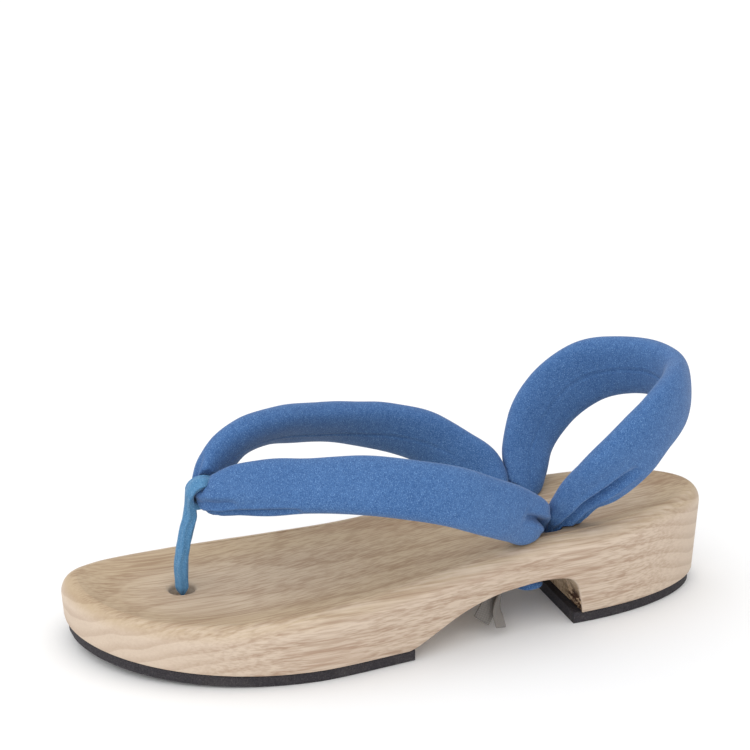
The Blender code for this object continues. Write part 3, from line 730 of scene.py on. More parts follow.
class Tube:
    """The skin of a swept piece: places in rings, and where on the piece each of them is."""

    def __init__(self, rows, rings, sides, closed=False, power=2.4):
        samples = spline(rows, rings, closed)
        self.closed = closed
        self.centres = samples[:, :3]
        ahead = self.steps(self.centres)
        ahead /= np.linalg.norm(ahead, axis=1)[:, None]
        outward = samples[:, 5:8] - (samples[:, 5:8] * ahead).sum(1)[:, None] * ahead
        outward /= np.linalg.norm(outward, axis=1)[:, None]
        across = np.cross(ahead, outward)
        self.degrees = np.linspace(0, 360, sides, endpoint=False)
        c, s = np.cos(np.radians(self.degrees)), np.sin(np.radians(self.degrees))
        u = np.copysign(np.abs(c) ** (2 / power), c)[None, :, None] * samples[:, 3, None, None] / 2
        v = np.copysign(np.abs(s) ** (2 / power), s)[None, :, None] * samples[:, 4, None, None] / 2
        self.places = self.centres[:, None] + across[:, None] * u + outward[:, None] * v
        run = np.linalg.norm(np.diff(self.centres, axis=0), axis=1)
        self.distance = np.concatenate([[0], np.cumsum(run)])
        self.share = self.distance / (self.distance[-1] + (run[0] if closed else 0))
        around = np.linalg.norm(np.roll(self.places, -1, axis=1) - self.places, axis=2)
        self.girth = around.sum(1)
        self.arc = np.cumsum(around, axis=1) - around

    def steps(self, values):
        """Central differences along the strap."""
        if self.closed:
            return np.roll(values, -1, axis=0) - np.roll(values, 1, axis=0)
        return np.gradient(values, axis=0)

    def normals(self):
        around = np.roll(self.places, -1, axis=1) - np.roll(self.places, 1, axis=1)
        found = np.cross(around, self.steps(self.places))
        found /= np.maximum(np.linalg.norm(found, axis=2), 1e-12)[:, :, None]
        outwards = ((self.places - self.centres[:, None]) * found).sum(2) > 0
        return np.where(outwards[:, :, None], found, -found)

    def press(self, relief):
        """Moves the skin out by relief, in metres, along its normals."""
        self.places = self.places + self.normals() * relief[:, :, None]

    def pleat(self, pleats, depth, lead):
        """Presses the same pleats along the whole length."""
        wave = np.radians(self.degrees[None] * pleats + lead) + 0.8 * np.sin(self.share * 25)[:, None]
        self.press(-depth * (0.5 + 0.5 * np.cos(wave)))

    def make(self, name):
        """The mesh object of the skin, with its share and turn kept on the vertices."""
        rings, sides = self.places.shape[:2]
        vertices = self.places.reshape(-1, 3).tolist()
        ends = rings if self.closed else rings - 1
        faces = []
        for i in range(ends):
            k = (i + 1) % rings
            for j in range(sides):
                n = (j + 1) % sides
                faces.append((i * sides + j, i * sides + n, k * sides + n, k * sides + j))
        if not self.closed:
            faces.append(tuple(range(sides)))
            faces.append(tuple(range((rings - 1) * sides, rings * sides)))
        obj = plain_object(name, vertices, faces)
        mark(obj, "run_along", np.repeat(self.distance, sides))
        mark(obj, "run_around", self.arc.ravel())
        clean(obj)
        return obj


print("tube: sections of any width, thickness and twist")


# %% [markdown]
# Cloth over padding creases in a few known ways, and the strap has a method for each. A fold follows
# a line of the skin, a gather spreads pleats from a neck, and slack padding swells a little
# everywhere. All of them only move the skin in or out along its normals.

# %% Creases of a padded strap
class PaddedTube(Tube):
    """A tube of cloth over padding, which folds and gathers."""

    def arc_at(self, turn):
        """Distance round each ring to a turn in degrees, one turn per ring."""
        sides = len(self.degrees)
        at = (np.broadcast_to(turn, len(self.arc)) % 360) / 360 * sides
        low = at.astype(int) % sides
        rings = np.arange(len(self.arc))
        ends = np.concatenate([self.arc, self.girth[:, None]], axis=1)
        return ends[rings, low] + (at - np.floor(at)) * (ends[rings, low + 1] - ends[rings, low])

    def fold(self, table):
        """Presses soft troughs with a low ridge beside them into the skin, a row of the table each."""
        relief = np.zeros(self.places.shape[:2])
        for start, end, turn_start, turn_end, width, depth in table:
            t = (self.share - start) / (end - start)
            fade = np.where((t > 0) & (t < 1), np.sin(np.pi * np.clip(t, 0, 1)), 0) ** 0.6
            middle = turn_start + (turn_end - turn_start) * t
            girth = self.girth[:, None]
            off = (self.arc - self.arc_at(middle)[:, None] + girth / 2) % girth - girth / 2
            x = off / (width * STRAP_THICKNESS)
            trough = -np.exp(-(x**2)) + 0.28 * np.exp(-((np.abs(x) - 2.1) ** 2))
            relief += fade[:, None] * depth * STRAP_THICKNESS * trough
        self.press(relief)

    def gather(self, at, reach, pleats, depth, lead=0.0):
        """Presses lengthwise pleats that fade with the distance from a share of the strap's length."""
        away = np.abs(self.share - at)
        away = np.minimum(away, 1 - away) if self.closed else away
        fade = np.exp(-((away / reach) ** 2))
        wave = np.radians(self.degrees[None] * pleats + lead) + 2.2 * np.sin(self.share * 40)[:, None]
        uneven = 0.7 + 0.3 * np.sin(np.radians(self.degrees[None] * 3 + 50))
        self.press(-fade[:, None] * depth * STRAP_THICKNESS * (0.5 + 0.5 * np.cos(wave)) * uneven)

    def slacken(self, height, spacing, seed):
        """Adds the shallow, uneven swellings of hand-stuffed padding."""
        relief = np.empty(self.places.shape[:2])
        offset = Vector((seed, seed, seed))
        for i, ring in enumerate(self.places):
            for j, place in enumerate(ring):
                relief[i, j] = noise.noise(Vector(place) / spacing + offset)
        self.press(relief * height)


print("padded tube: folds, gathers and slack")


# %% [markdown]
# A strap gives way to what it lies against: it rests on the board, stays inside its holes, is squeezed
# by the toe loop and keeps off the other strap. A simulation could find this too, but three of these
# neighbours are plain forms and the fourth is a mesh at hand, so we move the skin directly.

# %% Neighbours of a padded strap
class Strap(PaddedTube):
    """A padded tube that keeps clear of the wood, the toe loop and the other strap."""

    def stay_in_hole(self, x, y):
        """Draws the neck in from the wall of a rear hole."""
        away = np.hypot(self.places[:, :, 0] - x, self.places[:, :, 1] - y)
        bottom, surface = float(underside_z(REAR_HOLE_ALONG)), float(footbed_z(x, y))
        height = self.places[:, :, 2]
        in_wood = (height > bottom - SEAT_GAP) & (height < surface - HOLE_CHAMFER)
        near = in_wood & (away < REAR_HOLE_RADIUS + 2 * SEAT_GAP)
        limit = REAR_HOLE_RADIUS - STRAP_GAP
        drawn = np.where(near, np.minimum(1, limit / np.maximum(away, 1e-9)), 1)
        self.places[:, :, 0] = x + (self.places[:, :, 0] - x) * drawn
        self.places[:, :, 1] = y + (self.places[:, :, 1] - y) * drawn

    def rest_on_wood(self):
        """Keeps the skin just above the board, or just under its arch, outside the rear holes."""
        for sign in (-1, 1):
            self.stay_in_hole(*rear_hole(sign))
        x, y, z = self.places[:, :, 0], self.places[:, :, 1], self.places[:, :, 2]
        inside = inside_edge(x, y)
        short = np.clip(RIM_RADIUS - inside, 0, RIM_RADIUS)
        wood_top = footbed_z(x, y) - (RIM_RADIUS - np.sqrt(RIM_RADIUS**2 - short**2))
        ceiling = underside_z(y_to_along(y))
        holes = [np.hypot(x - rear_hole(sign)[0], y - rear_hole(sign)[1]) for sign in (-1, 1)]
        beside = (np.minimum(*holes) > REAR_HOLE_RADIUS) & (inside > 0)
        above = z > (wood_top + ceiling) / 2
        kept = np.where(above, np.maximum(z, wood_top + SEAT_GAP), np.minimum(z, ceiling - SEAT_GAP))
        self.places[:, :, 2] = np.where(beside, kept, z)

    def squeeze(self):
        """Holds the skin inside the loop, and presses it against the loop's edges where it bulges."""
        ahead, up, along = loop_axes()
        away = self.places - apex()
        depth, height, aside = away @ ahead, away @ up, away @ along
        size = np.hypot(depth / ((APEX_THICKNESS + LOOP_GAP) / 2), height / ((APEX_WIDTH + LOOP_GAP) / 2))
        middle = self.distance[np.linalg.norm(self.centres - apex(), axis=1).argmin()]
        side = np.where(self.distance < middle, -1, 1)[:, None]
        near = (np.abs(self.distance - middle) < BULGE_REACH)[:, None]
        edge = LOOP_WIDTH / 2 + LOOP_GAP
        inside = near & (size < BULGE_START) & (np.abs(aside) < edge)
        held = np.where(inside, np.minimum(1, 1 / np.maximum(size, 1e-9)), 1)
        pressed = edge * np.clip((BULGE_END - size) / BULGE_FADE, 0, 1)
        beside = near & (size >= BULGE_START) & (side * aside < pressed)
        aside = np.where(beside, side * pressed, aside)
        depth, height = held * depth, held * height
        seat = LOOP_TUCK * (APEX_WIDTH + LOOP_THICKNESS + 2 * LOOP_GAP) / 2 - (LOOP_THICKNESS + LOOP_GAP) / 2
        height = np.where(inside, np.maximum(height, -seat), height)
        moved = aside[:, :, None] * along + depth[:, :, None] * ahead + height[:, :, None] * up
        self.places = apex() + moved

    def part_from(self, piece):
        """Moves the skin off another strap where their folds would touch."""
        places = [v.co.copy() for v in piece.data.vertices]
        tree = BVHTree.FromPolygons(places, [tuple(face.vertices) for face in piece.data.polygons])
        for ring in self.places:
            for k, place in enumerate(ring):
                near, normal, _, _ = tree.find_nearest(Vector(place), 4 * SEAT_GAP)
                if near is not None:
                    clear = (Vector(place) - near).dot(normal)
                    ring[k] += np.array(normal) * max(STRAP_GAP - clear, 0)


print("strap: holes, wood, toe loop and the other strap")


# %% [markdown]
# Both straps are swept with many sides and rings, for the creases that they get next. The instep strap
# is open from knot to knot, and the heel strap is one closed loop.

# %% Sweep the straps
middle = (*apex(), APEX_WIDTH, APEX_THICKNESS, 0, 1, 0)
instep_rows = arm_rows(OUTER_ARM, -1) + [middle] + arm_rows(INNER_ARM, 1)[::-1]
instep_tube = Strap(instep_rows, 600, STRAP_SIDES)
heel_tube = Strap(heel_rows(), 540, STRAP_SIDES, closed=True)
print("straps:", *(round(tube.distance[-1] / MM) for tube in (instep_tube, heel_tube)), "mm long")


# %% [markdown]
# A worn strap keeps the creases that the foot gives it. Each is a soft trough with a low ridge on
# both sides, placed in the strap's own shares: a deep one runs up the heel strap from its
# hole, a short one crosses the end of the instep strap, and a lip rolls under its front. Pleats spread
# from every neck, because the cloth is drawn together there. A hem is sewn down the hidden face.

# %% Folds of the straps
# Columns: start and end as shares of the strap, turn in degrees at both, width and depth as shares
# of the strap's thickness
INSTEP_FOLDS = (
    (0.048, 0.152, 60, 86, 0.34, 0.13),
    (0.050, 0.146, 60, 85, 0.11, 0.30),
    (0.385, 0.505, 172, 146, 0.30, 0.12),
    (0.385, 0.500, 174, 148, 0.11, 0.24),
    (0.455, 0.500, 118, 96, 0.12, 0.12),
    (0.506, 0.540, 60, 20, 0.16, 0.14),
    (0.830, 0.922, 92, 62, 0.34, 0.11),
    (0.835, 0.922, 90, 62, 0.11, 0.15),
    (0.120, 0.470, 270, 270, 0.04, 0.045),
    (0.540, 0.880, 270, 270, 0.04, 0.045),
)
HEEL_FOLDS = (
    (0.100, 0.290, 96, 74, 0.60, 0.14),
    (0.104, 0.270, 96, 76, 0.14, 0.30),
    (0.115, 0.225, 56, 44, 0.20, 0.13),
    (0.118, 0.215, 134, 146, 0.26, 0.08),
    (0.700, 0.900, 78, 100, 0.60, 0.12),
    (0.720, 0.896, 80, 100, 0.13, 0.24),
    (0.775, 0.885, 44, 56, 0.20, 0.13),
    (0.150, 0.850, 270, 270, 0.04, 0.045),
)

SLACK_HEIGHT = 0.0005
SLACK_SPACING = 0.017

for tube in (instep_tube, heel_tube):
    tube.slacken(SLACK_HEIGHT, SLACK_SPACING, 3.1)
instep_tube.fold(INSTEP_FOLDS)
heel_tube.fold(HEEL_FOLDS)
for place in (0.060, 0.940):
    instep_tube.gather(place, 0.026, 9, 0.018)
instep_tube.gather(0.497, 0.018, 9, 0.040, 40)
for place in (0.100, 0.894):
    heel_tube.gather(place, 0.040, 9, 0.045, 20)
for tube in (instep_tube, heel_tube):
    tube.rest_on_wood()
heel_piece = heel_tube.make("heel_padding")
instep_tube.part_from(heel_piece)
instep_tube.squeeze()
instep_piece = instep_tube.make("instep_padding")
print("straps:", len(instep_piece.data.polygons), "and", len(heel_piece.data.polygons), "faces")


# %% [markdown]
# The toe loop goes over the point where the two arms meet, comes down between the toes and is knotted
# in a pocket under the board. It is a ring, a stem and a knot of one cloth. We sweep all three and
# melt them into one skin with a voxel remesh, which hides the joins as stretched cloth does.

# %% Toe loop
STEM_FORWARD = 0.0039
STEM_WIDTH = 0.0068
STEM_THICKNESS = 0.0054
TOE_KNOT_WIDTH = 0.0150
TOE_KNOT = ((0.96, 0.30), (0.86, 0.76), (0.52, 1.00), (0.20, 0.80))
LOOP_VOXEL = 0.00022
LOOP_PLEAT = 0.00045


def joined(name, pieces):
    """One object of several, which are then gone."""
    bm = bmesh.new()
    for piece in pieces:
        bm.from_mesh(piece.data)
        bpy.data.objects.remove(piece)
    mesh = bpy.data.meshes.new(name)
    bm.to_mesh(mesh)
    bm.free()
    return placed(name, mesh)


def melted(obj, voxel, rounds):
    """Remeshes overlapping bodies into one skin and smooths it."""
    remesh = obj.modifiers.new("melt", "REMESH")
    remesh.mode = "VOXEL"
    remesh.voxel_size = voxel
    relax = obj.modifiers.new("relax", "SMOOTH")
    relax.factor = 0.5
    relax.iterations = rounds
    apply_modifiers(obj)
    obj.data.shade_smooth()
    return obj


def toe_loop_form():
    point = apex()
    reach_y = APEX_THICKNESS / 2 + LOOP_THICKNESS / 2 + LOOP_GAP
    reach_z = APEX_WIDTH / 2 + LOOP_THICKNESS / 2 + LOOP_GAP
    ahead, up, _ = loop_axes()
    ring = []
    for angle in np.linspace(0, 2 * math.pi, 12, endpoint=False):
        out = math.cos(angle) * ahead + math.sin(angle) * up
        height = reach_z * max(math.sin(angle), -LOOP_TUCK)
        place = point + reach_y * math.cos(angle) * ahead + height * up
        squeeze = 1 - LOOP_SQUEEZE * (1 - math.cos(angle)) / 2
        ring.append((*place, LOOP_WIDTH * squeeze, LOOP_THICKNESS, *out))
    hole_x, hole_y = front_hole()
    pocket = float(underside_z(FRONT_HOLE_ALONG)) + KNOT_POCKET_DEPTH
    rows = []
    for down, width in TOE_KNOT:
        size = width * TOE_KNOT_WIDTH
        rows.append((hole_x, hole_y, pocket - GAP - down * (KNOT_POCKET_DEPTH - GAP), size, size, 0, 1, 0))
    foot = point - (reach_z - 0.2 * LOOP_THICKNESS) * up
    for share in (0.0, 0.25, 0.5, 0.75, 0.92):
        bend = float(smooth((0, 0.4, 1), (0, 0, 1), share))
        x = hole_x + bend * (foot[0] - hole_x)
        y = hole_y + bend * (foot[1] + STEM_FORWARD - hole_y)
        rows.append((x, y, pocket + share * (foot[2] - pocket), STEM_WIDTH, STEM_THICKNESS, 0, 1, 0))
    front = point + reach_y * ahead
    rows.append((*(front - 0.35 * reach_z * up), 0.95 * LOOP_WIDTH, LOOP_THICKNESS, 0, 1, 0))
    rows.append((*(front + 0.20 * reach_z * up), 0.95 * LOOP_WIDTH, LOOP_THICKNESS, 0, 1, 0))
    band = Tube(ring, 120, 60, closed=True)
    band.pleat(5, LOOP_PLEAT, 90)
    stem = Tube(rows, 200, 60)
    stem.pleat(6, LOOP_PLEAT, 30)
    return melted(joined("toe_loop_cloth", [band.make("loop_ring"), stem.make("loop_stem")]), LOOP_VOXEL, 2)


loop_piece = toe_loop_form()
print("toe loop:", len(loop_piece.data.polygons), "faces")


# %% [markdown]
# Under the arch a narrow grey tape is tied round each knot, and its two cut ends hang free. They are
# flat woven bands: a wide thin section swept along a bent line.

# %% Tie tapes
TAPE_WIDTH = 0.0080
TAPE_THICKNESS = 0.0009
TAPE_REACH = 0.0157
TAPE_ROOT = 0.0052
TAPE_END_WIDTHS = (0.85, 0.5)
# Columns: forward, outward and down as shares of TAPE_REACH, the way to the edge and to the floor, turn
TAPE_ENDS = (
    ((-0.12, 0.00, 0.00, 0), (0.28, 0.20, 0.06, 50), (0.62, 0.45, 0.34, 95), (0.90, 0.62, 0.64, 118)),
    ((-0.12, 0.00, 0.00, 50), (0.24, 0.30, 0.12, 60), (0.50, 0.62, 0.42, 72), (0.52, 0.90, 0.73, 78)),
)


def tape_form(name, sign):
    x = rear_hole(sign)[0]
    y = neck_y(1) + KNOT_SHIFT + KNOT_WIDTH / 2 + GAP + TAPE_ROOT / 2
    z = float(underside_z(REAR_HOLE_ALONG)) - SEAT_GAP - 0.55 * KNOT_DROP
    edge = float(edge_x(REAR_HOLE_ALONG, "outer" if sign < 0 else "inner"))
    pieces = []
    for table, width in zip(TAPE_ENDS, TAPE_END_WIDTHS):
        rows = []
        for forward, outward, down, turn in table:
            angle = math.radians(turn)
            place = (x + outward * (edge - x), y + forward * TAPE_REACH, z - down * z)
            broad = (sign * math.sin(angle), 0, -math.cos(angle))
            rows.append((*place, width * TAPE_WIDTH, TAPE_THICKNESS, *broad))
        pieces.append(Tube(rows, 60, 48, power=5.0).make("tape_end"))
    turn_rows = []
    for share, size in ((-0.62, 0.6), (-0.5, 0.92), (0.0, 1.0), (0.5, 0.92), (0.62, 0.6)):
        turn_rows.append((x - sign * TAPE_WIDTH * share, y, z, TAPE_ROOT * size, TAPE_ROOT * size, 0, 0, 1))
    pieces.append(Tube(turn_rows, 40, 40).make("tape_turn"))
    return joined(name, pieces)


outer_tape = tape_form("tape_outer", -1)
inner_tape = tape_form("tape_inner", 1)
for tape in (outer_tape, inner_tape):
    tape.data.shade_smooth()
print("tapes:", len(outer_tape.data.polygons), "faces each")


# %% [markdown]
# The finishes share a few effects, each a group of shader nodes with named inputs, so that wood,
# rubber, cloth and tape are all aged and speckled by the same means, and the wood's rim gets its
# painted highlight there too. A group only works out colours and heights. The shader itself, its
# roughness and its sheen stay in each material.

# %% Shared node groups
def new_group(name, inputs, outputs):
    """An empty group with its sockets, and its two end nodes."""
    tree = bpy.data.node_groups.new(name, "ShaderNodeTree")
    kinds = {"F": "NodeSocketFloat", "C": "NodeSocketColor", "V": "NodeSocketVector"}
    for direction, sockets in (("INPUT", inputs), ("OUTPUT", outputs)):
        for socket, kind in sockets.items():
            tree.interface.new_socket(socket, in_out=direction, socket_type=kinds[kind])
    return tree, tree.nodes.new("NodeGroupInput").outputs, tree.nodes.new("NodeGroupOutput").inputs


def use(tree, group, inputs):
    """A group placed in a material."""
    return add(tree, "Group", inputs, node_tree=group).outputs


def send(tree, sockets, values):
    """Links each value to the socket of its name."""
    for name, value in values.items():
        tree.links.new(value, sockets[name])


def maths(tree, operation, *values, clamp=False):
    return add(tree, "Math", dict(enumerate(values)), operation=operation, use_clamp=clamp).outputs[0]


def times(tree, a, b, plus=0.0, clamp=False):
    """The product of two values, and a third added to it."""
    return maths(tree, "MULTIPLY_ADD", a, b, plus, clamp=clamp)


def mix(tree, factor, a, b, blend="MIX"):
    """One colour over another."""
    return add(tree, "Mix", {0: factor, 6: a, 7: b}, data_type="RGBA", blend_type=blend).outputs[2]


def grains(tree, place, scale, detail=2.0, roughness=0.5):
    """Noise from 0 to 1 at a scale per metre, or at three of them for stretched grain."""
    if isinstance(scale, tuple):
        place = add(tree, "VectorMath", {0: place, 1: scale}, operation="MULTIPLY").outputs[0]
        scale = 1.0
    made = add(tree, "TexNoise", {"Vector": place, "Scale": scale, "Detail": detail, "Roughness": roughness})
    return made.outputs[0]


def step(tree, value, low, high, to_low=0.0, to_high=1.0):
    """A soft step of a value between two limits."""
    made = add(tree, "MapRange", {
        "Value": value, "From Min": low, "From Max": high, "To Min": to_low, "To Max": to_high,
    }, interpolation_type="SMOOTHSTEP")
    return made.outputs[0]


print("helpers of the shader trees: ready")


# %% [markdown]
# Two effects serve every material. One turns edges towards another colour where the material's masks
# say, as wear and, on the wood's rim, also as a painted highlight, and dusts the surface; the other
# mixes threads or grains of three colours.

# %% Wear, painted highlight and speckle
def wear_highlight_dust_group():
    """Edges turn lighter or darker by the Edge mask, as wear and, on the wood's rim, as a painted highlight
    too; a dusty film gathers in blotches.
    """
    tree, given, out = new_group(
        "wear_highlight_dust",
        {"Place": "V", "Color": "C", "Worn and lit": "C", "Edge": "F", "Dust": "C", "Dust amount": "F"},
        {"Color": "C", "Dustiness": "F"},
    )
    place = given["Place"]
    uneven = step(tree, grains(tree, place, 160.0, 3.0), 0.25, 0.75, 0.6, 1.0)
    # The Edge mask mixes in the edge colour: wear, and on the wood's rim also a painted highlight.
    edge_wear_and_highlight = times(tree, given["Edge"], uneven, clamp=True)
    colour = mix(tree, edge_wear_and_highlight, given["Color"], given["Worn and lit"])
    blotch = step(tree, grains(tree, place, 45.0, 4.0, 0.6), 0.48, 0.70)
    speck = step(tree, grains(tree, place, 2400.0, 1.0), 0.55, 0.75)
    film = times(tree, blotch, times(tree, speck, 0.5, 0.5))
    dust = times(tree, film, given["Dust amount"], clamp=True)
    send(tree, out, {"Color": mix(tree, dust, colour, given["Dust"]), "Dustiness": dust})
    return tree


def speckle_group():
    """The mixture of light and dark threads or grains that a material shows close up."""
    tree, given, out = new_group(
        "speckle",
        {"Place": "V", "Deep": "C", "Light": "C", "Fleck": "C", "Per metre": "F", "Flecks": "F"},
        {"Color": "C", "Height": "F"},
    )
    place, per_metre = given["Place"], given["Per metre"]
    fine = grains(tree, place, per_metre)
    broad = grains(tree, place, times(tree, per_metre, 0.22), 3.0)
    share = times(tree, step(tree, fine, 0.25, 0.75), 0.80, -0.02)
    share = times(tree, step(tree, broad, 0.30, 0.70), 0.22, share, clamp=True)
    colour = mix(tree, share, given["Deep"], given["Light"])
    shifted = add(tree, "VectorMath", {0: place, 1: (0.31, 0.17, 0.23)}, operation="ADD").outputs[0]
    rare = step(tree, grains(tree, shifted, per_metre, 1.0), 0.54, 0.72)
    fleck = times(tree, rare, given["Flecks"], clamp=True)
    send(tree, out, {"Color": mix(tree, fleck, colour, given["Fleck"]), "Height": fine})
    return tree


WEAR_HIGHLIGHT_DUST = wear_highlight_dust_group()
SPECKLE = speckle_group()
print("groups:", WEAR_HIGHLIGHT_DUST.name, SPECKLE.name)


# %% [markdown]
# Sawn wood is a log in section: rings round a pith above the board cross its walls as long arches, and
# fibres, streaks and pores are drawn out along it. A picture of grain would not meet at the edges, but
# rings worked out in space do. The tape's weave is laid out by two distances on the band.

# %% Sawn wood and weave
PITH_ACROSS = 0.022
PITH_HEIGHT = 0.105
PITH_CLIMB = 0.055


def grain_group():
    """Sawn wood: growth rings round a pith above the board, fibres along it, pores and streaks."""
    tree, given, out = new_group(
        "sawn_wood",
        {"Place": "V", "Pale": "C", "Late": "C", "Streak": "C", "Ring spacing": "F", "Rings": "F",
         "Fibres": "F"},
        {"Color": "C", "Height": "F"},
    )
    place, fibres = given["Place"], given["Fibres"]
    bend = grains(tree, place, (26.0, 9.0, 26.0))
    ripple = grains(tree, place, (110.0, 16.0, 110.0), 1.0)
    apart = add(tree, "SeparateXYZ", {"Vector": place}).outputs
    aside = maths(tree, "SUBTRACT", apart[0], PITH_ACROSS)
    above = maths(tree, "ADD", apart[2], times(tree, apart[1], PITH_CLIMB, -PITH_HEIGHT))
    squares = [maths(tree, "POWER", length, 2.0) for length in (aside, above)]
    radius = maths(tree, "SQRT", maths(tree, "ADD", *squares))
    radius = times(tree, bend, 0.014, radius)
    radius = times(tree, ripple, 0.0009, radius)
    ring = maths(tree, "FRACT", maths(tree, "DIVIDE", radius, given["Ring spacing"]))
    late = times(tree, step(tree, ring, 0.30, 0.88), step(tree, ring, 0.93, 1.0, 1.0, 0.0))
    coarse = grains(tree, place, (520.0, 12.0, 520.0))
    fine = grains(tree, place, (1500.0, 42.0, 1500.0))
    threads = times(tree, step(tree, coarse, 0.34, 0.66), 0.34, -0.26)
    threads = times(tree, step(tree, fine, 0.36, 0.64), 0.74, threads)
    shade = times(tree, threads, fibres, times(tree, late, given["Rings"]), clamp=True)
    colour = mix(tree, shade, given["Pale"], given["Late"])
    streak = step(tree, grains(tree, place, (85.0, 9.0, 85.0), 3.0), 0.52, 0.74)
    pore = step(tree, grains(tree, place, (1500.0, 120.0, 1500.0), 1.0), 0.66, 0.76)
    for mark_made in (streak, pore):
        colour = mix(tree, times(tree, mark_made, times(tree, fibres, 0.36)), colour, given["Streak"])
    send(tree, out, {"Color": colour, "Height": maths(tree, "SUBTRACT", fine, times(tree, pore, 0.6))})
    return tree


def weave_group():
    """A plain weave laid out by distances along and round a band."""
    tree, given, out = new_group(
        "plain_weave",
        {"Along": "F", "Around": "F", "Thread": "F", "Deep": "C", "Light": "C"},
        {"Color": "C", "Height": "F"},
    )
    waves = []
    for name in ("Along", "Around"):
        turn = times(tree, maths(tree, "DIVIDE", given[name], given["Thread"]), math.pi)
        waves.append(maths(tree, "SINE", turn))
    height = times(tree, times(tree, *waves), 0.5, 0.5)
    send(tree, out, {"Color": mix(tree, height, given["Deep"], given["Light"]), "Height": height})
    return tree


SAWN_WOOD = grain_group()
WEAVE = weave_group()
print("groups:", SAWN_WOOD.name, WEAVE.name)


# %% [markdown]
# Now each material. All of them read places in metres from the piece itself, so that a grain of half
# a millimetre is that size on every piece, and the wood's rings run through the whole board as they
# would in a log.

# %% Helpers of the materials
def paint(red, green, blue):
    """A colour as a picture shows it, from 0 to 255, turned into light."""
    light = []
    for value in (red, green, blue):
        value /= 255
        light.append(value / 12.92 if value <= 0.04045 else ((value + 0.055) / 1.055) ** 2.4)
    return (*light, 1.0)


def piece_place(tree):
    return add(tree, "TexCoord").outputs["Object"]


def kept(tree, name):
    """A number that the piece keeps on its vertices."""
    return add(tree, "Attribute", attribute_name=name).outputs["Fac"]


def relief(tree, height, strength, distance):
    """Small relief from a height, in metres at full strength."""
    return add(tree, "Bump", {"Strength": strength, "Distance": distance, "Height": height}).outputs["Normal"]


# %% [markdown]
# The wood is pale and only sanded. Its growth rings show as thin warm lines along the side, its long
# fibres as faint streaks, and pinkish streaks cross both. The rim, where hands and feet rub, is
# smoother, and it is painted lighter: partly wear, partly a painted highlight on its rounded edge. The
# top is painted darker and warmer than the walls: partly a warmer tone, partly painted shade. The sawn
# face of the heel block shows end grain: it is darker, rough, and its lower corner is torn. These masks
# are worked out from where each vertex lies.

# %% Wood
WOOD_PALE = paint(204, 186, 167)
WOOD_LATE = paint(168, 143, 122)
WOOD_STREAK = paint(168, 136, 115)
# Lighter colour of the rim: partly wear, partly a painted highlight on its rounded edge.
WOOD_RIM_LIT_AND_WORN = paint(216, 199, 180)
# Multiplied over the top and the upper rim: a warmer tone, and painted shade that keeps the top as dark as
# the walls.
WOOD_TOP = (0.79, 0.74, 0.62, 1.0)
END_GRAIN = paint(216, 190, 156)
CUT_FIBRE = paint(148, 116, 86)
TORN_WOOD = paint(62, 38, 22)
RING_SPACING = 0.0052


def board_masks(obj):
    """Where the rim gets its lighter band of wear and painted highlight, where the top is, and where end
    grain shows and is torn.
    """
    count = len(obj.data.vertices)
    co = np.empty(count * 3, np.float32)
    obj.data.vertices.foreach_get("co", co)
    x, y, z = co.reshape(-1, 3).T.astype(float)
    along = y_to_along(y)
    inside = inside_edge(x, y)
    top = footbed_z(x, y)
    # The rim mask places the lighter rim colour: partly wear, partly a painted highlight.
    rim = np.exp(-(((inside - 0.45 * RIM_RADIUS) / (0.5 * RIM_RADIUS)) ** 2)) * (z > top - RIM_RADIUS)
    # The upper mask places the darker, warmer top: partly its tone, partly painted shade.
    upper = np.clip((z - (rim_z(along) - 0.8 * RIM_RADIUS)) / (0.6 * RIM_RADIUS), 0, 1)
    heel_face = along_to_y(ARCH_BACK)
    reach = 0.055 * SOLE_LENGTH * (ARCH_FRONT - ARCH_BACK)
    face = np.clip(1 - np.abs(y - heel_face) / reach, 0, 1) ** 0.5
    face *= (z < TREAD_THICKNESS + 0.92 * ARCH_HEIGHT) & (inside > 2.2 * EDGE_BREAK)
    corner = np.exp(-(((inside - 0.006) / 0.010) ** 2)) * np.exp(-(((z - 0.0080) / 0.0055) ** 2)) * (x < 0)
    return {"rim_wear_and_highlight": rim, "upper_side": upper, "end_grain": face, "torn": face * corner}


def roughen(obj, mask, depth, per_metre):
    """Pushes the masked vertices into the wood by uneven amounts, as torn fibres leave it."""
    for vertex, amount in zip(obj.data.vertices, mask):
        if amount > 0.02:
            chip = noise.noise(Vector((vertex.co.x * per_metre, 0.0, vertex.co.z * per_metre * 0.5)))
            vertex.co.y -= depth * amount * max(chip + 0.45, 0.0)


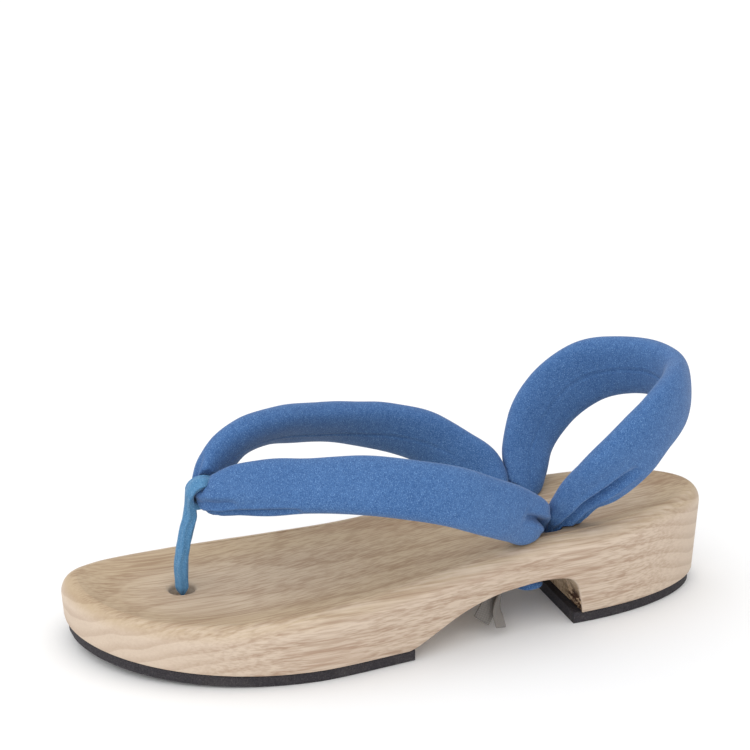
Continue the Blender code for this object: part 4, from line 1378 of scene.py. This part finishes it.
def wood_finish():
    made, tree, sockets = new_material("wood", Specular_IOR_Level=0.35)
    place = piece_place(tree)
    rim_lit_and_worn, end_grain = kept(tree, "rim_wear_and_highlight"), kept(tree, "end_grain")
    faced = add(tree, "SeparateXYZ", {"Vector": add(tree, "TexCoord").outputs["Normal"]}).outputs[1]
    fibres = step(tree, maths(tree, "ABSOLUTE", faced), 0.08, 0.60, 0.88, 0.16)
    wood = use(tree, SAWN_WOOD, {
        "Place": place, "Pale": WOOD_PALE, "Late": WOOD_LATE, "Streak": WOOD_STREAK,
        "Ring spacing": RING_SPACING, "Rings": 0.36, "Fibres": fibres,
    })
    # The top is multiplied by WOOD_TOP: a warmer tone, and painted shade.
    top_tint_and_shade = mix(tree, 1.0, wood["Color"], WOOD_TOP, "MULTIPLY")
    colour = mix(tree, kept(tree, "upper_side"), wood["Color"], top_tint_and_shade)
    # The rim's lighter, streaked band is partly wear and partly a painted highlight.
    rim_streaks = step(tree, grains(tree, place, (700.0, 34.0, 700.0)), 0.36, 0.64, 0.15, 0.75)
    wear_highlight_dust = use(tree, WEAR_HIGHLIGHT_DUST, {
        "Place": place, "Color": colour, "Worn and lit": WOOD_RIM_LIT_AND_WORN, "Dust": WOOD_LATE, "Dust amount": 0.12,
        "Edge": times(tree, rim_lit_and_worn, times(tree, rim_streaks, fibres)),
    })
    cut_fibres = grains(tree, place, (1400.0, 1400.0, 130.0))
    face = use(tree, SPECKLE, {
        "Place": place, "Deep": mix(tree, step(tree, cut_fibres, 0.35, 0.65), CUT_FIBRE, END_GRAIN),
        "Light": END_GRAIN, "Fleck": WOOD_LATE, "Per metre": 1100.0, "Flecks": 0.5,
    })
    colour = mix(tree, end_grain, wear_highlight_dust["Color"], face["Color"])
    splinters = step(tree, grains(tree, place, (170.0, 400.0, 620.0), 3.0), 0.36, 0.54)
    torn = times(tree, times(tree, kept(tree, "torn"), 1.6, clamp=True), splinters)
    rough = times(tree, end_grain, 0.26, times(tree, rim_lit_and_worn, -0.16, 0.64), clamp=True)
    height = times(tree, times(tree, end_grain, cut_fibres), 4.0, wood["Height"])
    send(tree, sockets, {
        "Base Color": mix(tree, torn, colour, TORN_WOOD), "Roughness": rough,
        "Normal": relief(tree, height, 0.5, 0.00012),
    })
    return made


masks = board_masks(board)
roughen(board, masks["torn"], 0.0012, 900.0)
roughen(board, masks["end_grain"], 0.00018, 1600.0)
for name, values in masks.items():
    mark(board, name, values)
wood = wood_finish()
print("wood:", len(wood.node_tree.nodes), "nodes")


# %% [markdown]
# The tread is charcoal sheet rubber with a fine pebbled face. Its cut edge shows short scores from the
# knife, and a little pale dust sticks to it near the floor.

# %% Rubber
RUBBER_DEEP = paint(36, 33, 37)
RUBBER_LIGHT = paint(60, 57, 62)
RUBBER_DUST = paint(120, 114, 110)


def rubber_finish():
    made, tree, sockets = new_material("rubber", Specular_IOR_Level=0.3)
    place = piece_place(tree)
    pebbles = use(tree, SPECKLE, {
        "Place": place, "Deep": RUBBER_DEEP, "Light": RUBBER_LIGHT, "Fleck": RUBBER_DUST,
        "Per metre": 1700.0, "Flecks": 0.18,
    })
    height = add(tree, "SeparateXYZ", {"Vector": place}).outputs[2]
    wear_highlight_dust = use(tree, WEAR_HIGHLIGHT_DUST, {
        "Place": place, "Color": pebbles["Color"], "Worn and lit": RUBBER_LIGHT, "Edge": 0.0,
        "Dust": RUBBER_DUST, "Dust amount": step(tree, height, 0.0, TREAD_THICKNESS, 0.30, 0.08),
    })
    scores = times(tree, grains(tree, place, (2600.0, 2600.0, 240.0)), 0.8, pebbles["Height"])
    send(tree, sockets, {
        "Base Color": wear_highlight_dust["Color"], "Normal": relief(tree, scores, 0.6, 0.00010),
        "Roughness": times(tree, wear_highlight_dust["Dustiness"], 0.4, 0.74, clamp=True),
    })
    return made


rubber = rubber_finish()
print("rubber:", len(rubber.node_tree.nodes), "nodes")


# %% [markdown]
# The straps are crepe, a matt cloth whose hard-twisted threads pucker into tiny grains, so the blue is
# a mixture of light and dark specks half a millimetre wide. The toe loop is a lighter, greener piece
# of the same cloth. A faint sheen stands for the fuzz of the threads.

# %% Crepe
CREPE_GRAINS = 2500.0


def crepe_finish(name, deep, light, fleck):
    made, tree, sockets = new_material(
        name, Roughness=0.88, Specular_IOR_Level=0.2, Sheen_Weight=0.12, Sheen_Roughness=0.5)
    place = piece_place(tree)
    cloth = use(tree, SPECKLE, {
        "Place": place, "Deep": deep, "Light": light, "Fleck": fleck,
        "Per metre": CREPE_GRAINS, "Flecks": 0.50,
    })
    wear_highlight_dust = use(tree, WEAR_HIGHLIGHT_DUST, {
        "Place": place, "Color": cloth["Color"], "Worn and lit": light, "Edge": 0.0,
        "Dust": fleck, "Dust amount": 0.10,
    })
    pucker = maths(tree, "ADD", grains(tree, place, 1300.0), cloth["Height"])
    send(tree, sockets, {"Base Color": wear_highlight_dust["Color"], "Normal": relief(tree, pucker, 0.45, 0.00016)})
    return made


strap_crepe = crepe_finish("strap_crepe", paint(44, 80, 130), paint(78, 117, 168), paint(124, 162, 208))
loop_crepe = crepe_finish("loop_crepe", paint(60, 108, 150), paint(90, 140, 180), paint(136, 180, 212))
print("crepe:", len(strap_crepe.node_tree.nodes), "nodes each")


# %% [markdown]
# The tie tape is woven of grey thread. Its weave follows the two distances that the band keeps on its
# vertices, so the threads run along and across it wherever it bends.

# %% Tape
TAPE_THREAD = 0.00045


def tape_finish():
    made, tree, sockets = new_material("tape", Roughness=0.9, Specular_IOR_Level=0.2, Sheen_Weight=0.1)
    woven = use(tree, WEAVE, {
        "Along": kept(tree, "run_along"), "Around": kept(tree, "run_around"), "Thread": TAPE_THREAD,
        "Deep": paint(104, 100, 96), "Light": paint(146, 142, 138),
    })
    wear_highlight_dust = use(tree, WEAR_HIGHLIGHT_DUST, {
        "Place": piece_place(tree), "Color": woven["Color"], "Worn and lit": paint(150, 147, 143), "Edge": 0.0,
        "Dust": paint(92, 88, 83), "Dust amount": 0.5,
    })
    send(tree, sockets, {
        "Base Color": wear_highlight_dust["Color"], "Normal": relief(tree, woven["Height"], 0.8, 0.00015),
    })
    return made


tape_grey = tape_finish()
print("tape:", len(tape_grey.node_tree.nodes), "nodes")


# %% [markdown]
# Last, every piece gets its finish and takes the place of its solid. Nothing on a sandal of this kind
# turns or slides, so all pieces ride on its one body.

# %% Dress the pieces
PIECES = (
    (board, "sole", "wood", wood),
    (front_sheet, "forefoot_tread", "rubber", rubber),
    (heel_sheet, "heel_tread", "rubber", rubber),
    (instep_piece, "instep_strap", "strap_cloth", strap_crepe),
    (heel_piece, "heel_strap", "strap_cloth", strap_crepe),
    (loop_piece, "toe_loop", "loop_cloth", loop_crepe),
    (outer_tape, "tie_tape_outer", "tape_cloth", tape_grey),
    (inner_tape, "tie_tape_inner", "tape_cloth", tape_grey),
)
for piece, solid, slot, finish in PIECES:
    piece.data.materials.clear()
    piece.data.materials.append(finish)
    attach(piece, "root")
    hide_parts(solid)
print("pieces:", len(PIECES))
